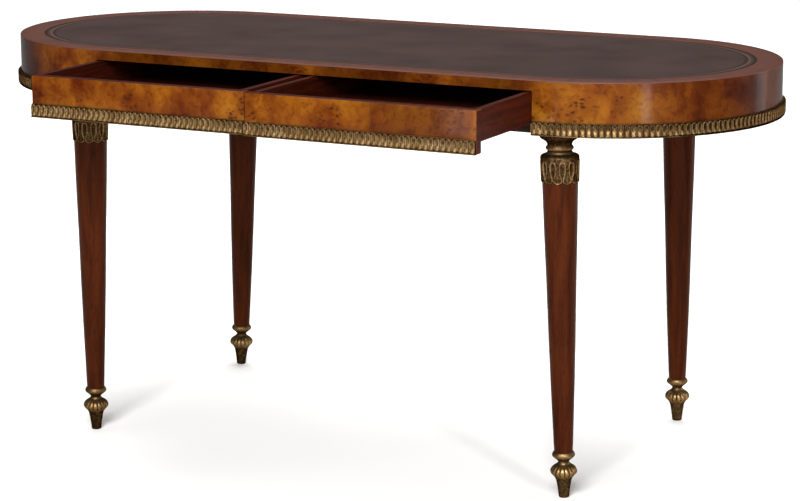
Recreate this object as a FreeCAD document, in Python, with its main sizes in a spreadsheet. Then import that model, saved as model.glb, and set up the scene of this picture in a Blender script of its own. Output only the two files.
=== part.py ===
"""Writing desk with a racetrack-shaped top, two frieze drawers and four round tapered legs.

The carcass is a shallow frieze under a leather-lined top: two bent end aprons, a straight back
rail and a low front rail that the drawers slide over. Brass tongue moulding runs round the foot of
the frieze and across both drawer fronts. Each leg has a brass capital and a ribbed brass foot and
is held by a coach screw through a block inside the frieze. Turned pieces are rings of flat facets, a
fraction of a millimetre from round, which keeps the whole desk light.

Frame: +X along the desk, the sitter at -Y, +Z up. The origin is on the floor, at the centre of the
four feet. Both drawers are modelled pulled out, as they were photographed.
"""
import FreeCAD, Part
import math
import os

import Sketcher

# Driving sizes in millimetres, degrees or counts: name, value, meaning.
SIZES = [
    ("height", 762, "floor to the top of the crossband border"),
    ("straight_length", 914, "straight run between the centres of the two round ends"),
    ("end_radius", 325, "radius of each round end, half the depth of the desk"),
    ("panel_thickness", 17, "core panel of the top"),
    ("crossband_thickness", 1.5, "veneer border laid on the panel"),
    ("crossband_width", 48, "border from the edge to the leather"),
    ("leather_thickness", 1.2, "writing leather"),
    ("leather_gap", 0.2, "leather to border all round"),
    ("frieze_height", 78, "aprons and rails, below the panel"),
    ("apron_thickness", 18, "bent end aprons and back rail"),
    ("stub_length", 5, "straight stub of a bent apron, from the bend to the drawer opening"),
    ("cross_rail_thickness", 18, "rail at each side of the drawers"),
    ("cross_rail_clearance", 0.5, "opening edge to the face of the cross rail"),
    ("rail_end_gap", 0.4, "cross rail end to the bent apron"),
    ("front_rail_depth", 60, "front rail, front to back"),
    ("front_rail_height", 20, "front rail and runners"),
    ("runner_width", 30, "side runners"),
    ("centre_runner_width", 60, "runner shared by both drawers"),
    ("guide_width", 16, "upright guide between the drawers"),
    ("guide_setback", 5, "guide end behind the front rail's face"),
    ("block_length", 49.5, "leg block along the desk"),
    ("block_depth", 57, "leg block from the desk's front or back edge line"),
    ("block_height", 50, "leg block"),
    ("block_gap", 0.3, "leg block to the bent apron"),
    ("block_hole_radius", 6, "hole for the coach screw in the leg block"),
    ("glue_block_section", 18, "square section of the glue blocks"),
    ("glue_block_length", 50, "glue block along the rail"),
    ("glue_block_count", 4, "glue blocks along the back rail"),
    ("moulding_height", 25, "tongue moulding"),
    ("moulding_back", 3, "flat strip behind the tongues"),
    ("tongue_rise", 3.8, "tongues in front of the strip"),
    ("tongue_pitch", 10.98, "tongue spacing aimed at"),
    ("tongue_cant", 38, "slope of the tongue's flanks, degrees"),
    ("turning_sides", 24, "flat sides round each turned piece, two for each leaf or rib"),
    ("leg_outset", 39.5, "leg axis beyond the drawer opening, at the frieze"),
    ("leg_setback", 32, "leg axis inside the front or back edge line, at the frieze"),
    ("leg_splay", 12, "how far each foot stands outward along the desk"),
    ("leg_lean", 9.5, "how far each foot stands inward across the desk"),
    ("leg_top_radius", 31.8, "wood at the lower edge of the collar"),
    ("leg_foot_radius", 16.8, "wood where it meets the foot"),
    ("leg_swell", 0.9, "outward swell of the taper at mid length"),
    ("spigot_radius", 17, "top of the spigot inside the capital"),
    ("spigot_straight", 24, "straight part of the spigot below the frieze"),
    ("socket_depth", 8, "full width of the leg inside the collar"),
    ("turned_fit", 0.3, "brass to turned wood"),
    ("flange_radius", 36, "top disc of the capital"),
    ("flange_height", 8, "top disc of the capital"),
    ("neck_radius", 24, "narrow part of the capital"),
    ("neck_height", 20, "frieze to the bottom of the hollow"),
    ("bead_radius", 25.4, "swelling at the foot of the neck"),
    ("bead_height", 13, "neck from the hollow to the shoulder"),
    ("shoulder_height", 8, "sloping shoulder above the collar"),
    ("collar_radius", 34.6, "top of the collar"),
    ("collar_taper", 1.4, "how much the collar narrows"),
    ("collar_height", 46, "collar below the shoulder"),
    ("leaf_rise", 1.6, "leaf ridge in front of the collar"),
    ("leaf_top_drop", 5, "leaf top below the shoulder"),
    ("leaf_shoulder_rise", 5, "where a leaf starts to close, above the collar's lower edge"),
    ("leaf_tip_drop", 9, "leaf tip below the collar's lower edge"),
    ("foot_height", 86, "brass foot"),
    ("sole_radius", 9.2, "flat sole of the foot"),
    ("sole_height", 1.5, "upright rim of the sole"),
    ("peg_radius", 12, "peg under the bulb"),
    ("peg_height", 24, "peg under the bulb"),
    ("bulb_seat_radius", 15.5, "bulb where it meets the peg"),
    ("bulb_seat_height", 35, "bulb where it meets the peg"),
    ("bulb_radius", 22.4, "bulb between its ribs"),
    ("bulb_height", 49, "widest part of the bulb"),
    ("rib_rise", 1.9, "ribs in front of the bulb"),
    ("rib_crest_height", 8, "straight crest of a rib"),
    ("foot_neck_radius", 11.2, "neck between bulb and ring"),
    ("foot_neck_height", 66, "neck between bulb and ring"),
    ("ring_radius", 20.9, "ring at the top of the foot"),
    ("ring_thickness", 9, "ring at the top of the foot"),
    ("screw_radius", 4, "coach screw through the leg block into the leg"),
    ("screw_fit", 0.3, "coach screw in the leg"),
    ("screw_grip", 60, "coach screw inside the leg"),
    ("screw_head_radius", 8, "hexagon head, to its corners"),
    ("screw_head_height", 6, "hexagon head"),
    ("screw_head_gap", 0.3, "hexagon head to the leg block, which its axis meets at a slant"),
    ("drawer_gap", 1, "drawer front to the centre line and to the apron"),
    ("drawer_top_gap", 2, "drawer front to the panel"),
    ("front_thickness", 20, "drawer front"),
    ("side_thickness", 12, "drawer sides"),
    ("drawer_back_space", 72, "closed drawer to the back rail"),
    ("runner_gap", 0.3, "drawer side to its runner"),
    ("guide_gap", 1.5, "inner drawer side to the guide"),
    ("stop_gap", 0.5, "closed drawer front to the front rail"),
    ("bottom_thickness", 5, "drawer bottom"),
    ("bottom_rise", 6, "drawer bottom above the lower edge of the sides"),
    ("groove_depth", 5, "groove for the drawer bottom"),
    ("groove_fit", 0.2, "drawer bottom in its groove"),
    ("back_thickness", 12, "drawer back"),
    ("back_drop", 3, "drawer back below the sides"),
    ("left_opening", 216.5, "left drawer pulled out, as photographed"),
    ("right_opening", 225, "right drawer pulled out, as photographed"),
    ("cut_overrun", 5, "how far cutting tools run past the piece"),
]

# Chord over diameter above which an arc counts as a half turn.
NEAR_HALF_TURN_SHARE = 0.9999

# How far, in millimetres, the fourth corner of a facet may lie off the plane of the other three.
FLAT_WITHIN = 1e-6

# Name and sides of each leg: -1 is left or front, 1 is right or back.
LEG_PLACES = [
    ("front_left", -1, -1), ("front_right", 1, -1), ("back_left", -1, 1), ("back_right", 1, 1),
]

Y_AXIS = FreeCAD.Vector(0, 1, 0)
Z_AXIS = FreeCAD.Vector(0, 0, 1)


class Size:
    """A number together with the expression that gives it from the sheet of sizes."""

    def __init__(self, value, text):
        self.value = value
        self.text = text

    @staticmethod
    def of(number):
        """Return number as a Size, so that plain zeros and counts mix with named sizes."""
        return number if isinstance(number, Size) else Size(number, f"({number})")

    def __add__(self, other):
        other = Size.of(other)
        return Size(self.value + other.value, f"({self.text} + {other.text})")

    def __sub__(self, other):
        other = Size.of(other)
        return Size(self.value - other.value, f"({self.text} - {other.text})")

    def __rsub__(self, other):
        return Size.of(other) - self

    def __mul__(self, other):
        other = Size.of(other)
        return Size(self.value * other.value, f"({self.text} * {other.text})")

    def __truediv__(self, other):
        other = Size.of(other)
        return Size(self.value / other.value, f"({self.text} / {other.text})")

    def __neg__(self):
        return Size(-self.value, f"(0 - {self.text})")

    __radd__ = __add__
    __rmul__ = __mul__


def root(size):
    """Square root of a Size."""
    return Size(math.sqrt(size.value), f"sqrt({size.text})")


class Sheet:
    """The spreadsheet of driving sizes; each one is read as an attribute of the same name."""

    def __init__(self, doc):
        self.cells = doc.addObject("Spreadsheet::Sheet", "Sizes")
        for row, (name, value, meaning) in enumerate(SIZES, start=1):
            self.cells.set(f"A{row}", str(value))
            self.cells.setAlias(f"A{row}", name)
            self.cells.set(f"B{row}", meaning)
        doc.recompute()
        for name, _, _ in SIZES:
            setattr(self, name, Size(float(self.cells.get(name)), f"Sizes.{name}"))
        self.derive()

    def derive(self):
        """Work out the levels and places that several pieces share."""
        self.panel_top = self.height - self.crossband_thickness
        self.panel_bottom = self.panel_top - self.panel_thickness
        self.frieze_bottom = self.panel_bottom - self.frieze_height
        self.half_straight = self.straight_length / 2
        self.half_opening = self.half_straight - self.stub_length
        self.apron_inner = self.end_radius - self.apron_thickness
        self.rail_face = self.half_opening + self.cross_rail_clearance
        self.rail_outer = self.rail_face + self.cross_rail_thickness
        self.front_rail_face = self.end_radius - self.front_thickness - self.stop_gap
        self.front_rail_back = self.front_rail_face - self.front_rail_depth
        self.leg_x = self.half_opening + self.leg_outset
        self.leg_y = self.end_radius - self.leg_setback
        self.tilt_tangent = root(self.leg_splay * self.leg_splay + self.leg_lean * self.leg_lean)
        self.tilt_tangent = self.tilt_tangent / self.frieze_bottom
        self.leg_length = self.frieze_bottom * root(1 + self.tilt_tangent * self.tilt_tangent)
        self.capital_height = self.neck_height + self.bead_height + self.shoulder_height
        self.capital_height = self.capital_height + self.collar_height
        self.knee = self.socket_depth - self.capital_height
        self.drawer_width = self.half_opening - 2 * self.drawer_gap
        self.front_height = self.frieze_height - self.drawer_top_gap
        self.side_length = 2 * self.end_radius - self.front_thickness - self.apron_thickness
        self.side_length = self.side_length - self.drawer_back_space
        self.side_bottom = self.front_rail_height + self.runner_gap
        self.side_height = self.front_height - self.side_bottom
        self.bottom_level = self.side_bottom + self.bottom_rise
        self.collar_level = -(self.neck_height + self.bead_height + self.shoulder_height)
        self.inner_side_inset = self.guide_width / 2 + self.guide_gap - self.drawer_gap


def origin_part(body, role):
    """Return the plane or axis of the body's own origin that has the given role."""
    return next(item for item in body.Origin.OriginFeatures if item.Role == role)


def new_body(doc, label):
    """Return an empty body with the given label."""
    body = doc.addObject("PartDesign::Body", label)
    body.Label = label
    return body


def place(piece, x=None, y=None, z=None, turn=0.0):
    """Place a piece: turned about the vertical by turn degrees, with its position bound."""
    piece.Placement = FreeCAD.Placement(FreeCAD.Vector(), FreeCAD.Rotation(Z_AXIS, turn))
    for axis, distance in (("x", x), ("y", y), ("z", z)):
        if distance is not None:
            piece.setExpression(f"Placement.Base.{axis}", distance.text)
    return piece


def new_sketch(body, plane, name, lift=None):
    """Return a sketch on one of the body's origin planes, lifted along the plane's normal."""
    sketch = body.newObject("Sketcher::SketchObject", name)
    sketch.AttachmentSupport = (origin_part(body, plane), [""])
    sketch.MapMode = "FlatFace"
    if lift is not None:
        sketch.setExpression("AttachmentOffset.Base.z", lift.text)
    return sketch


def pin_point(sketch, geometry, end, x, y):
    """Tie one end of a sketch edge to two bound distances from the sketch's origin."""
    for kind, distance in (("DistanceX", x), ("DistanceY", y)):
        index = sketch.addConstraint(Sketcher.Constraint(kind, geometry, end, distance.value))
        sketch.setExpression(f"Constraints[{index}]", distance.text)


def arc_between(start, end, radius):
    """Return an arc from start to end: counter-clockwise for a positive radius, else clockwise."""
    chord = end - start
    middle = (start + end) * 0.5
    rise = math.sqrt(max(radius * radius - chord.Length ** 2 / 4, 0.0))
    normal = FreeCAD.Vector(-chord.y, chord.x, 0).normalize()
    centre = middle + normal * (rise if radius > 0 else -rise)
    first, last = (start, end) if radius > 0 else (end, start)
    angles = [math.atan2(point.y - centre.y, point.x - centre.x) for point in (first, last)]
    circle = Part.Circle(centre, Z_AXIS, abs(radius))
    return Part.ArcOfCircle(circle, angles[0], angles[1])


def draw_outline(sketch, corners):
    """Draw a closed outline through corners given as (x, y) or (x, y, radius).

    A corner with a radius starts an arc of up to half a turn to the next corner, which runs
    counter-clockwise if the radius is positive and clockwise if it is negative. A half turn
    stands on a chord along the sketch's Y, and its centre is tied to the chord.
    """
    corners = [tuple(Size.of(item) for item in corner) for corner in corners]
    edges = []
    for corner, following in zip(corners, corners[1:] + corners[:1]):
        start = FreeCAD.Vector(corner[0].value, corner[1].value, 0)
        end = FreeCAD.Vector(following[0].value, following[1].value, 0)
        if len(corner) == 2:
            index = sketch.addGeometry(Part.LineSegment(start, end))
            edges.append((index, 1, 2))
            continue
        radius = corner[2]
        index = sketch.addGeometry(arc_between(start, end, radius.value))
        edges.append((index, 1, 2) if radius.value > 0 else (index, 2, 1))
        size = radius if radius.value > 0 else -radius
        if (end - start).Length < 2 * size.value * NEAR_HALF_TURN_SHARE:
            rule = sketch.addConstraint(Sketcher.Constraint("Radius", index, size.value))
            sketch.setExpression(f"Constraints[{rule}]", size.text)
        else:
            rule = sketch.addConstraint(Sketcher.Constraint("DistanceX", index, 3, start.x))
            sketch.setExpression(f"Constraints[{rule}]", corner[0].text)
    for (index, _, last), (following, first, _) in zip(edges, edges[1:] + edges[:1]):
        sketch.addConstraint(Sketcher.Constraint("Coincident", index, last, following, first))
    for corner, (index, first, _) in zip(corners, edges):
        pin_point(sketch, index, first, corner[0], corner[1])
    return sketch


def draw_rectangle(sketch, left, right, low, high):
    """Draw a rectangle between four bound coordinates."""
    return draw_outline(sketch, [(left, low), (right, low), (right, high), (left, high)])


def draw_circle(sketch, x, y, radius):
    """Draw a circle with a bound centre and radius."""
    x, y = Size.of(x), Size.of(y)
    circle = Part.Circle(FreeCAD.Vector(x.value, y.value, 0), Z_AXIS, radius.value)
    index = sketch.addGeometry(circle)
    rule = sketch.addConstraint(Sketcher.Constraint("Radius", index, radius.value))
    sketch.setExpression(f"Constraints[{rule}]", radius.text)
    pin_point(sketch, index, 3, x, y)
    return sketch


def draw_racetrack(sketch, half_straight, radius):
    """Draw a racetrack: two straight runs along X joined by half circles."""
    return draw_outline(sketch, [
        (-half_straight, -radius), (half_straight, -radius, radius),
        (half_straight, radius), (-half_straight, radius, radius),
    ])


def draw_bow(sketch, stub, inner, outer):
    """Draw half a ring about the origin, open towards -X, with a straight stub at each end."""
    return draw_outline(sketch, [
        (-stub, -outer), (Size.of(0), -outer, outer), (0, outer), (-stub, outer),
        (-stub, inner), (Size.of(0), inner, -inner), (0, -inner), (-stub, -inner),
    ])


def pad(body, sketch, length):
    """Pad a sketch by a bound length."""
    feature = body.newObject("PartDesign::Pad", sketch.Label + "Pad")
    feature.Profile = sketch
    feature.setExpression("Length", length.text)
    feature.Refine = False
    sketch.Visibility = False
    return feature


def pocket(body, sketch, length):
    """Cut a sketch into the body by a bound length, upward from the sketch."""
    feature = body.newObject("PartDesign::Pocket", sketch.Label + "Pocket")
    feature.Profile = sketch
    feature.Reversed = True
    feature.setExpression("Length", length.text)
    feature.Refine = False
    sketch.Visibility = False
    return feature


def board(doc, label, left, right, front, back, low, high):
    """A straight board between bound coordinates."""
    body = new_body(doc, label)
    sketch = draw_rectangle(new_sketch(body, "XY_Plane", label + "Plan"), left, right, front, back)
    pad(body, sketch, high - low)
    return place(body, z=low)


def top_panel(doc, s):
    """Core panel of the top, with the full outline of the desk."""
    body = new_body(doc, "top_panel")
    sketch = new_sketch(body, "XY_Plane", "PanelPlan")
    draw_racetrack(sketch, s.half_straight, s.end_radius)
    pad(body, sketch, s.panel_thickness)
    return place(body, z=s.panel_bottom)


def border_crossband(doc, s):
    """Veneer border round the leather."""
    body = new_body(doc, "border_crossband")
    sketch = new_sketch(body, "XY_Plane", "BorderPlan")
    draw_racetrack(sketch, s.half_straight, s.end_radius)
    draw_racetrack(sketch, s.half_straight, s.end_radius - s.crossband_width)
    pad(body, sketch, s.crossband_thickness)
    return place(body, z=s.panel_top)


def writing_leather(doc, s):
    """Leather lining laid on the panel inside the border."""
    body = new_body(doc, "writing_leather")
    sketch = new_sketch(body, "XY_Plane", "LeatherPlan")
    draw_racetrack(sketch, s.half_straight, s.end_radius - s.crossband_width - s.leather_gap)
    pad(body, sketch, s.leather_thickness)
    return place(body, z=s.panel_top)


def end_apron(doc, s, label, side):
    """Bent apron round one end, with short straight stubs that meet the opening and back rail."""
    body = new_body(doc, label)
    sketch = new_sketch(body, "XY_Plane", label + "Plan")
    draw_bow(sketch, s.stub_length, s.apron_inner, s.end_radius)
    pad(body, sketch, s.frieze_height)
    return place(body, x=side * s.half_straight, z=s.frieze_bottom, turn=0 if side > 0 else 180)


class StraightRun:
    """Plan of a moulding along a straight face: from the origin towards +X, facing -Y."""

    def __init__(self, length):
        self.length = length.value

    def point(self, distance, rise):
        """Return the point at a distance along the face and a rise in front of it."""
        return FreeCAD.Vector(distance, -rise, 0)

    def edges(self):
        """Return the edge that follows the face, from the far end to the near one."""
        return [Part.makeLine(self.point(self.length, 0), self.point(0, 0))]


class BowRun:
    """Plan of a moulding round one end apron: stub, half circle about the origin, stub."""

    def __init__(self, s):
        self.stub = s.stub_length.value
        self.radius = s.end_radius.value
        self.bend = math.pi * self.radius
        self.length = self.bend + 2 * self.stub

    def point(self, distance, rise):
        """Return the point at a distance along the apron and a rise in front of it."""
        reach = self.radius + rise
        if distance < self.stub:
            return FreeCAD.Vector(distance - self.stub, -reach, 0)
        if distance > self.stub + self.bend:
            return FreeCAD.Vector(self.stub + self.bend - distance, reach, 0)
        angle = (distance - self.stub) / self.radius - math.pi / 2
        return FreeCAD.Vector(math.cos(angle), math.sin(angle), 0) * reach

    def edges(self):
        """Return the edges that follow the apron, from the far end to the near one."""
        back, front = FreeCAD.Vector(0, self.radius, 0), FreeCAD.Vector(0, -self.radius, 0)
        arc = Part.Arc(back, FreeCAD.Vector(self.radius, 0, 0), front).toShape()
        stubs = [Part.makeLine(self.point(self.length, 0), back), Part.makeLine(front, self.point(0, 0))]
        return [stubs[0], arc, stubs[1]]


def tongue_moulding(doc, s, label, run):
    """Tongue moulding: a row of canted tongues along a run.

    A run has dozens of tongues, too many to draw one by one in a sketch, so a loop draws the plan.
    """
    crest = (s.moulding_back + s.tongue_rise).value
    flank = s.tongue_rise.value * math.tan(math.radians(s.tongue_cant.value))
    count = round(run.length / s.tongue_pitch.value)
    pitch = run.length / count
    corners = [run.point(0, 0)]
    for start in (number * pitch for number in range(count)):
        corners += [run.point(start, s.moulding_back.value), run.point(start + flank, crest),
                    run.point(start + pitch - flank, crest)]
    corners += [run.point(run.length, s.moulding_back.value), run.point(run.length, 0)]
    plan = Part.Face(Part.Wire(Part.makePolygon(corners).Edges + run.edges()))
    piece = doc.addObject("Part::Feature", label)
    piece.Label = label
    piece.Shape = plan.extrude(Z_AXIS * s.moulding_height.value)
    return piece


def end_moulding(doc, s, label, side):
    """Tongue moulding round one end apron."""
    piece = tongue_moulding(doc, s, label, BowRun(s))
    return place(piece, x=side * s.half_straight, z=s.frieze_bottom, turn=0 if side > 0 else 180)


def leg_block(doc, s, label, side_x, side_y):
    """Block in the corner of cross rail and apron that one leg is screwed to."""
    body = new_body(doc, label)
    hand = -side_x * side_y
    near = s.rail_outer - s.half_straight
    far = near + s.block_length
    radius = s.apron_inner - s.block_gap
    inner = s.apron_inner - s.block_depth
    sketch = new_sketch(body, "XY_Plane", label + "Plan")
    draw_outline(sketch, [
        (hand * near, -inner), (hand * near, -root(radius * radius - near * near), hand * radius),
        (hand * far, -root(radius * radius - far * far)), (hand * far, -inner),
    ])
    pad(body, sketch, s.block_height)
    hole = new_sketch(body, "XY_Plane", label + "Hole")
    draw_circle(hole, hand * (s.leg_x - s.half_straight), -s.leg_y, s.block_hole_radius)
    pocket(body, hole, s.block_height)
    turn = 0 if side_y < 0 else 180
    return place(body, x=side_x * s.half_straight, z=s.frieze_bottom, turn=turn)


def glue_blocks(doc, s):
    """Rub blocks glued in the corner of back rail and panel, each in its share of the opening."""
    blocks = []
    pitch = 2 * s.half_opening / s.glue_block_count
    for number in range(round(s.glue_block_count.value)):
        block = doc.addObject("Part::Box", f"GlueBlock{number + 1}")
        offset = pitch * number - pitch * (s.glue_block_count - 1) / 2
        block.setExpression("Length", s.glue_block_length.text)
        block.setExpression("Width", s.glue_block_section.text)
        block.setExpression("Height", s.glue_block_section.text)
        place(block, x=offset - s.glue_block_length / 2, y=s.apron_inner - s.glue_block_section,
              z=s.panel_bottom - s.glue_block_section)
        blocks.append(block)
    return group(doc, "glue_blocks", blocks)


def group(doc, label, members):
    """One node made of separate solids."""
    compound = doc.addObject("Part::Compound", label)
    compound.Label = label
    compound.Links = members
    return compound


def leg_turn(s, side_x, side_y):
    """Rotation that leans a leg's own vertical axis to that leg's splay and lean."""
    bearing = math.degrees(math.atan2(-side_y * s.leg_lean.value, side_x * s.leg_splay.value))
    tilt = math.degrees(math.atan(s.tilt_tangent.value))
    return FreeCAD.Rotation(Z_AXIS, bearing).multiply(FreeCAD.Rotation(Y_AXIS, -tilt))


def hang(piece, s, side_x, side_y):
    """Place a turned piece on a leg's axis, its origin where the axis meets the frieze."""
    piece.Placement = FreeCAD.Placement(FreeCAD.Vector(), leg_turn(s, side_x, side_y))
    piece.setExpression("Placement.Base.x", (side_x * s.leg_x).text)
    piece.setExpression("Placement.Base.y", (side_y * s.leg_y).text)
    piece.setExpression("Placement.Base.z", s.frieze_bottom.text)
    return piece


def corner_ring(s, ridge, valley=None, slanted=False):
    """Corners of one ring round a turned piece, each ridge or valley a (radius, level) pair.

    Ridges and valleys take turns; without a valley the ring is plain. A slanted ring lies level with
    the floor, on a piece that leans.
    """
    sides = round(s.turning_sides.value)
    corners = []
    for number in range(sides):
        radius, level = ridge if number % 2 == 0 or valley is None else valley
        angle = 2 * math.pi * number / sides
        corner = FreeCAD.Vector(math.cos(angle), math.sin(angle), 0) * Size.of(radius).value
        corner.z = Size.of(level).value
        if slanted:
            corner.z -= corner.x * s.tilt_tangent.value
        corners.append(corner)
    return corners


def facets(a, b, c, d):
    """Faces over four corners: one if they lie in a plane, else two triangles."""
    normal = (b - a).cross(c - a).normalize()
    if abs((d - a).dot(normal)) < FLAT_WITHIN:
        return [Part.Face(Part.makePolygon([a, b, c, d, a]))]
    return [Part.Face(Part.makePolygon([a, b, c, a])), Part.Face(Part.makePolygon([a, c, d, a]))]


def turned_piece(doc, label, rings, hollow=False):
    """Piece between successive rings of corners; a hollow one's last ring joins its first.

    A sketch can't hold the facets of two alternating rings, so a loop joins them one by one.
    """
    following = rings[1:] + rings[:1] if hollow else rings[1:]
    ends = [] if hollow else [rings[0], rings[-1]]
    faces = [Part.Face(Part.makePolygon(ring + ring[:1])) for ring in ends]
    for ring, after in zip(rings, following):
        for number in range(len(ring)):
            faces += facets(ring[number - 1], ring[number], after[number], after[number - 1])
    piece = doc.addObject("Part::Feature", label)
    piece.Label = label
    piece.Shape = Part.Solid(Part.Shell(faces))
    return piece


def leg(doc, s, label, side_x, side_y):
    """Turned leg: a spigot inside the capital, then the visible taper with its slight swell."""
    ankle = s.foot_height - s.leg_length
    knee = -s.capital_height
    waist = (s.leg_top_radius + s.leg_foot_radius) / 2 + s.leg_swell
    hole = s.screw_radius + s.screw_fit
    piece = turned_piece(doc, label, [
        corner_ring(s, (hole, -s.screw_grip - s.screw_fit)),
        corner_ring(s, (hole, 0), slanted=True),
        corner_ring(s, (s.spigot_radius, 0), slanted=True),
        corner_ring(s, (s.spigot_radius, -s.spigot_straight)),
        corner_ring(s, (s.leg_top_radius, s.knee)),
        corner_ring(s, (s.leg_top_radius, knee)),
        corner_ring(s, (waist, (knee + ankle) / 2)),
        corner_ring(s, (s.leg_foot_radius, ankle)),
    ])
    return hang(piece, s, side_x, side_y)


def capital(doc, s, label, side_x, side_y):
    """Brass capital: disc, hollow neck and shoulder over a collar of pointed leaves."""
    bore = s.spigot_radius + s.turned_fit
    socket = s.leg_top_radius + s.turned_fit
    edge = s.collar_radius - s.collar_taper
    leaf_top = s.collar_level - s.leaf_top_drop
    leaf_shoulder = s.leaf_shoulder_rise - s.capital_height
    leaf_tip = -s.capital_height - s.leaf_tip_drop
    piece = turned_piece(doc, label, [
        corner_ring(s, (bore, 0), slanted=True),
        corner_ring(s, (s.flange_radius, 0), slanted=True),
        corner_ring(s, (s.flange_radius, -s.flange_height)),
        corner_ring(s, (s.neck_radius, -s.neck_height)),
        corner_ring(s, (s.bead_radius, -s.neck_height - s.bead_height)),
        corner_ring(s, (s.collar_radius, s.collar_level)),
        corner_ring(s, (s.collar_radius + s.leaf_rise, leaf_top), (s.collar_radius, leaf_top)),
        corner_ring(s, (edge + s.leaf_rise, leaf_shoulder), (edge, leaf_shoulder)),
        corner_ring(s, (edge, leaf_tip), (edge, -s.capital_height)),
        corner_ring(s, (socket, leaf_tip), (socket, -s.capital_height)),
        corner_ring(s, (socket, s.knee)),
        corner_ring(s, (bore, -s.spigot_straight)),
    ], hollow=True)
    return hang(piece, s, side_x, side_y)


def foot(doc, s, label, side_x, side_y):
    """Brass foot: ring, neck, ribbed bulb and a tapered peg with a flat sole."""
    floor = -s.leg_length
    middle = floor + s.bulb_height
    rib = s.bulb_radius + s.rib_rise
    ribs = []
    for level in (middle - s.rib_crest_height / 2, middle + s.rib_crest_height / 2):
        ribs.append(corner_ring(s, (rib, level), (s.bulb_radius, level)))
    piece = turned_piece(doc, label, [
        corner_ring(s, (s.sole_radius, floor), slanted=True),
        corner_ring(s, (s.sole_radius, floor + s.sole_height)),
        corner_ring(s, (s.peg_radius, floor + s.peg_height)),
        corner_ring(s, (s.bulb_seat_radius, floor + s.bulb_seat_height)),
        *ribs,
        corner_ring(s, (s.foot_neck_radius, floor + s.foot_neck_height)),
        corner_ring(s, (s.ring_radius, floor + s.foot_height - s.ring_thickness)),
        corner_ring(s, (s.ring_radius, floor + s.foot_height)),
    ])
    return hang(piece, s, side_x, side_y)


def leg_screws(doc, s):
    """Coach screws with hexagon heads, each down through a leg block into its leg."""
    screws = []
    for name, side_x, side_y in LEG_PLACES:
        shank = doc.addObject("Part::Cylinder", f"ScrewShank_{name}")
        seat = s.block_height + s.screw_head_gap
        shank.setExpression("Radius", s.screw_radius.text)
        shank.setExpression("Height", (s.screw_grip + seat + s.screw_head_height / 2).text)
        shank.setExpression("Placement.Base.z", (-s.screw_grip).text)
        head = doc.addObject("Part::Prism", f"ScrewHead_{name}")
        head.Polygon = 6
        head.setExpression("Circumradius", s.screw_head_radius.text)
        head.setExpression("Height", s.screw_head_height.text)
        head.setExpression("Placement.Base.z", seat.text)
        screw = doc.addObject("Part::Fuse", f"Screw_{name}")
        screw.Base = shank
        screw.Tool = head
        screws.append(hang(screw, s, side_x, side_y))
    return group(doc, "leg_screws", screws)


def drawer_place(piece, s, side, level=None):
    """Place a drawer piece: origin at the lower middle of the front's face, drawer pulled out."""
    opening = s.right_opening if side > 0 else s.left_opening
    level = s.frieze_bottom if level is None else s.frieze_bottom + level
    return place(piece, x=side * (s.drawer_gap + s.drawer_width / 2), y=-(s.end_radius + opening), z=level)


def drawer_front(doc, s, label, side):
    """Drawer front, which reaches below the sides to carry the moulding."""
    body = new_body(doc, label)
    half = s.drawer_width / 2
    sketch = new_sketch(body, "XY_Plane", label + "Plan")
    draw_rectangle(sketch, -half, half, Size.of(0), s.front_thickness)
    pad(body, sketch, s.front_height)
    low_x, high_x = groove_span(s, side)
    groove = new_sketch(body, "XY_Plane", label + "Groove", s.bottom_level - s.groove_fit)
    draw_rectangle(groove, low_x, high_x, s.front_thickness - s.groove_depth,
                   s.front_thickness + s.cut_overrun)
    pocket(body, groove, s.bottom_thickness + 2 * s.groove_fit)
    return drawer_place(body, s, side)


def side_faces(s, side, outward):
    """Inner and outer face of one drawer side; outward tells the one away from the guide."""
    half = s.drawer_width / 2
    outer = half if outward else half - s.inner_side_inset
    inner = outer - s.side_thickness
    sign = side if outward else -side
    return sign * inner, sign * outer, sign


def groove_span(s, side):
    """The two ends of the drawer bottom's groove across the drawer."""
    spans = []
    for outward in (False, True):
        inner, _, sign = side_faces(s, side, outward)
        spans.append(inner + sign * s.groove_depth)
    return spans


def drawer_side(doc, s, label, side, outward):
    """Drawer side with the groove for the bottom."""
    body = new_body(doc, label)
    inner, outer, sign = side_faces(s, side, outward)
    back = s.front_thickness + s.side_length
    sketch = new_sketch(body, "XY_Plane", label + "Plan")
    draw_rectangle(sketch, inner, outer, s.front_thickness, back)
    pad(body, sketch, s.side_height)
    groove = new_sketch(body, "XY_Plane", label + "Groove", s.bottom_rise - s.groove_fit)
    draw_rectangle(groove, inner - sign * s.cut_overrun, inner + sign * s.groove_depth,
                   s.front_thickness - s.cut_overrun, back + s.cut_overrun)
    pocket(body, groove, s.bottom_thickness + 2 * s.groove_fit)
    return drawer_place(body, s, side, s.side_bottom)


def drawer_bottom(doc, s, label, side):
    """Drawer bottom, let into the sides and the front and passing under the back."""
    body = new_body(doc, label)
    low_x, high_x = groove_span(s, side)
    low_x, high_x = low_x + side * s.groove_fit, high_x - side * s.groove_fit
    sketch = new_sketch(body, "XY_Plane", label + "Plan")
    draw_rectangle(sketch, low_x, high_x, s.front_thickness - s.groove_depth + s.groove_fit,
                   s.front_thickness + s.side_length)
    pad(body, sketch, s.bottom_thickness)
    return drawer_place(body, s, side, s.bottom_level)


def drawer_back(doc, s, label, side):
    """Drawer back, standing on the bottom between the sides."""
    body = new_body(doc, label)
    inner_faces = [side_faces(s, side, outward)[0] for outward in (False, True)]
    back = s.front_thickness + s.side_length
    level = s.bottom_level + s.bottom_thickness
    sketch = new_sketch(body, "XY_Plane", label + "Plan")
    draw_rectangle(sketch, inner_faces[0], inner_faces[1], back - s.back_thickness, back)
    pad(body, sketch, s.front_height - s.back_drop - level)
    return drawer_place(body, s, side, level)


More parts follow.
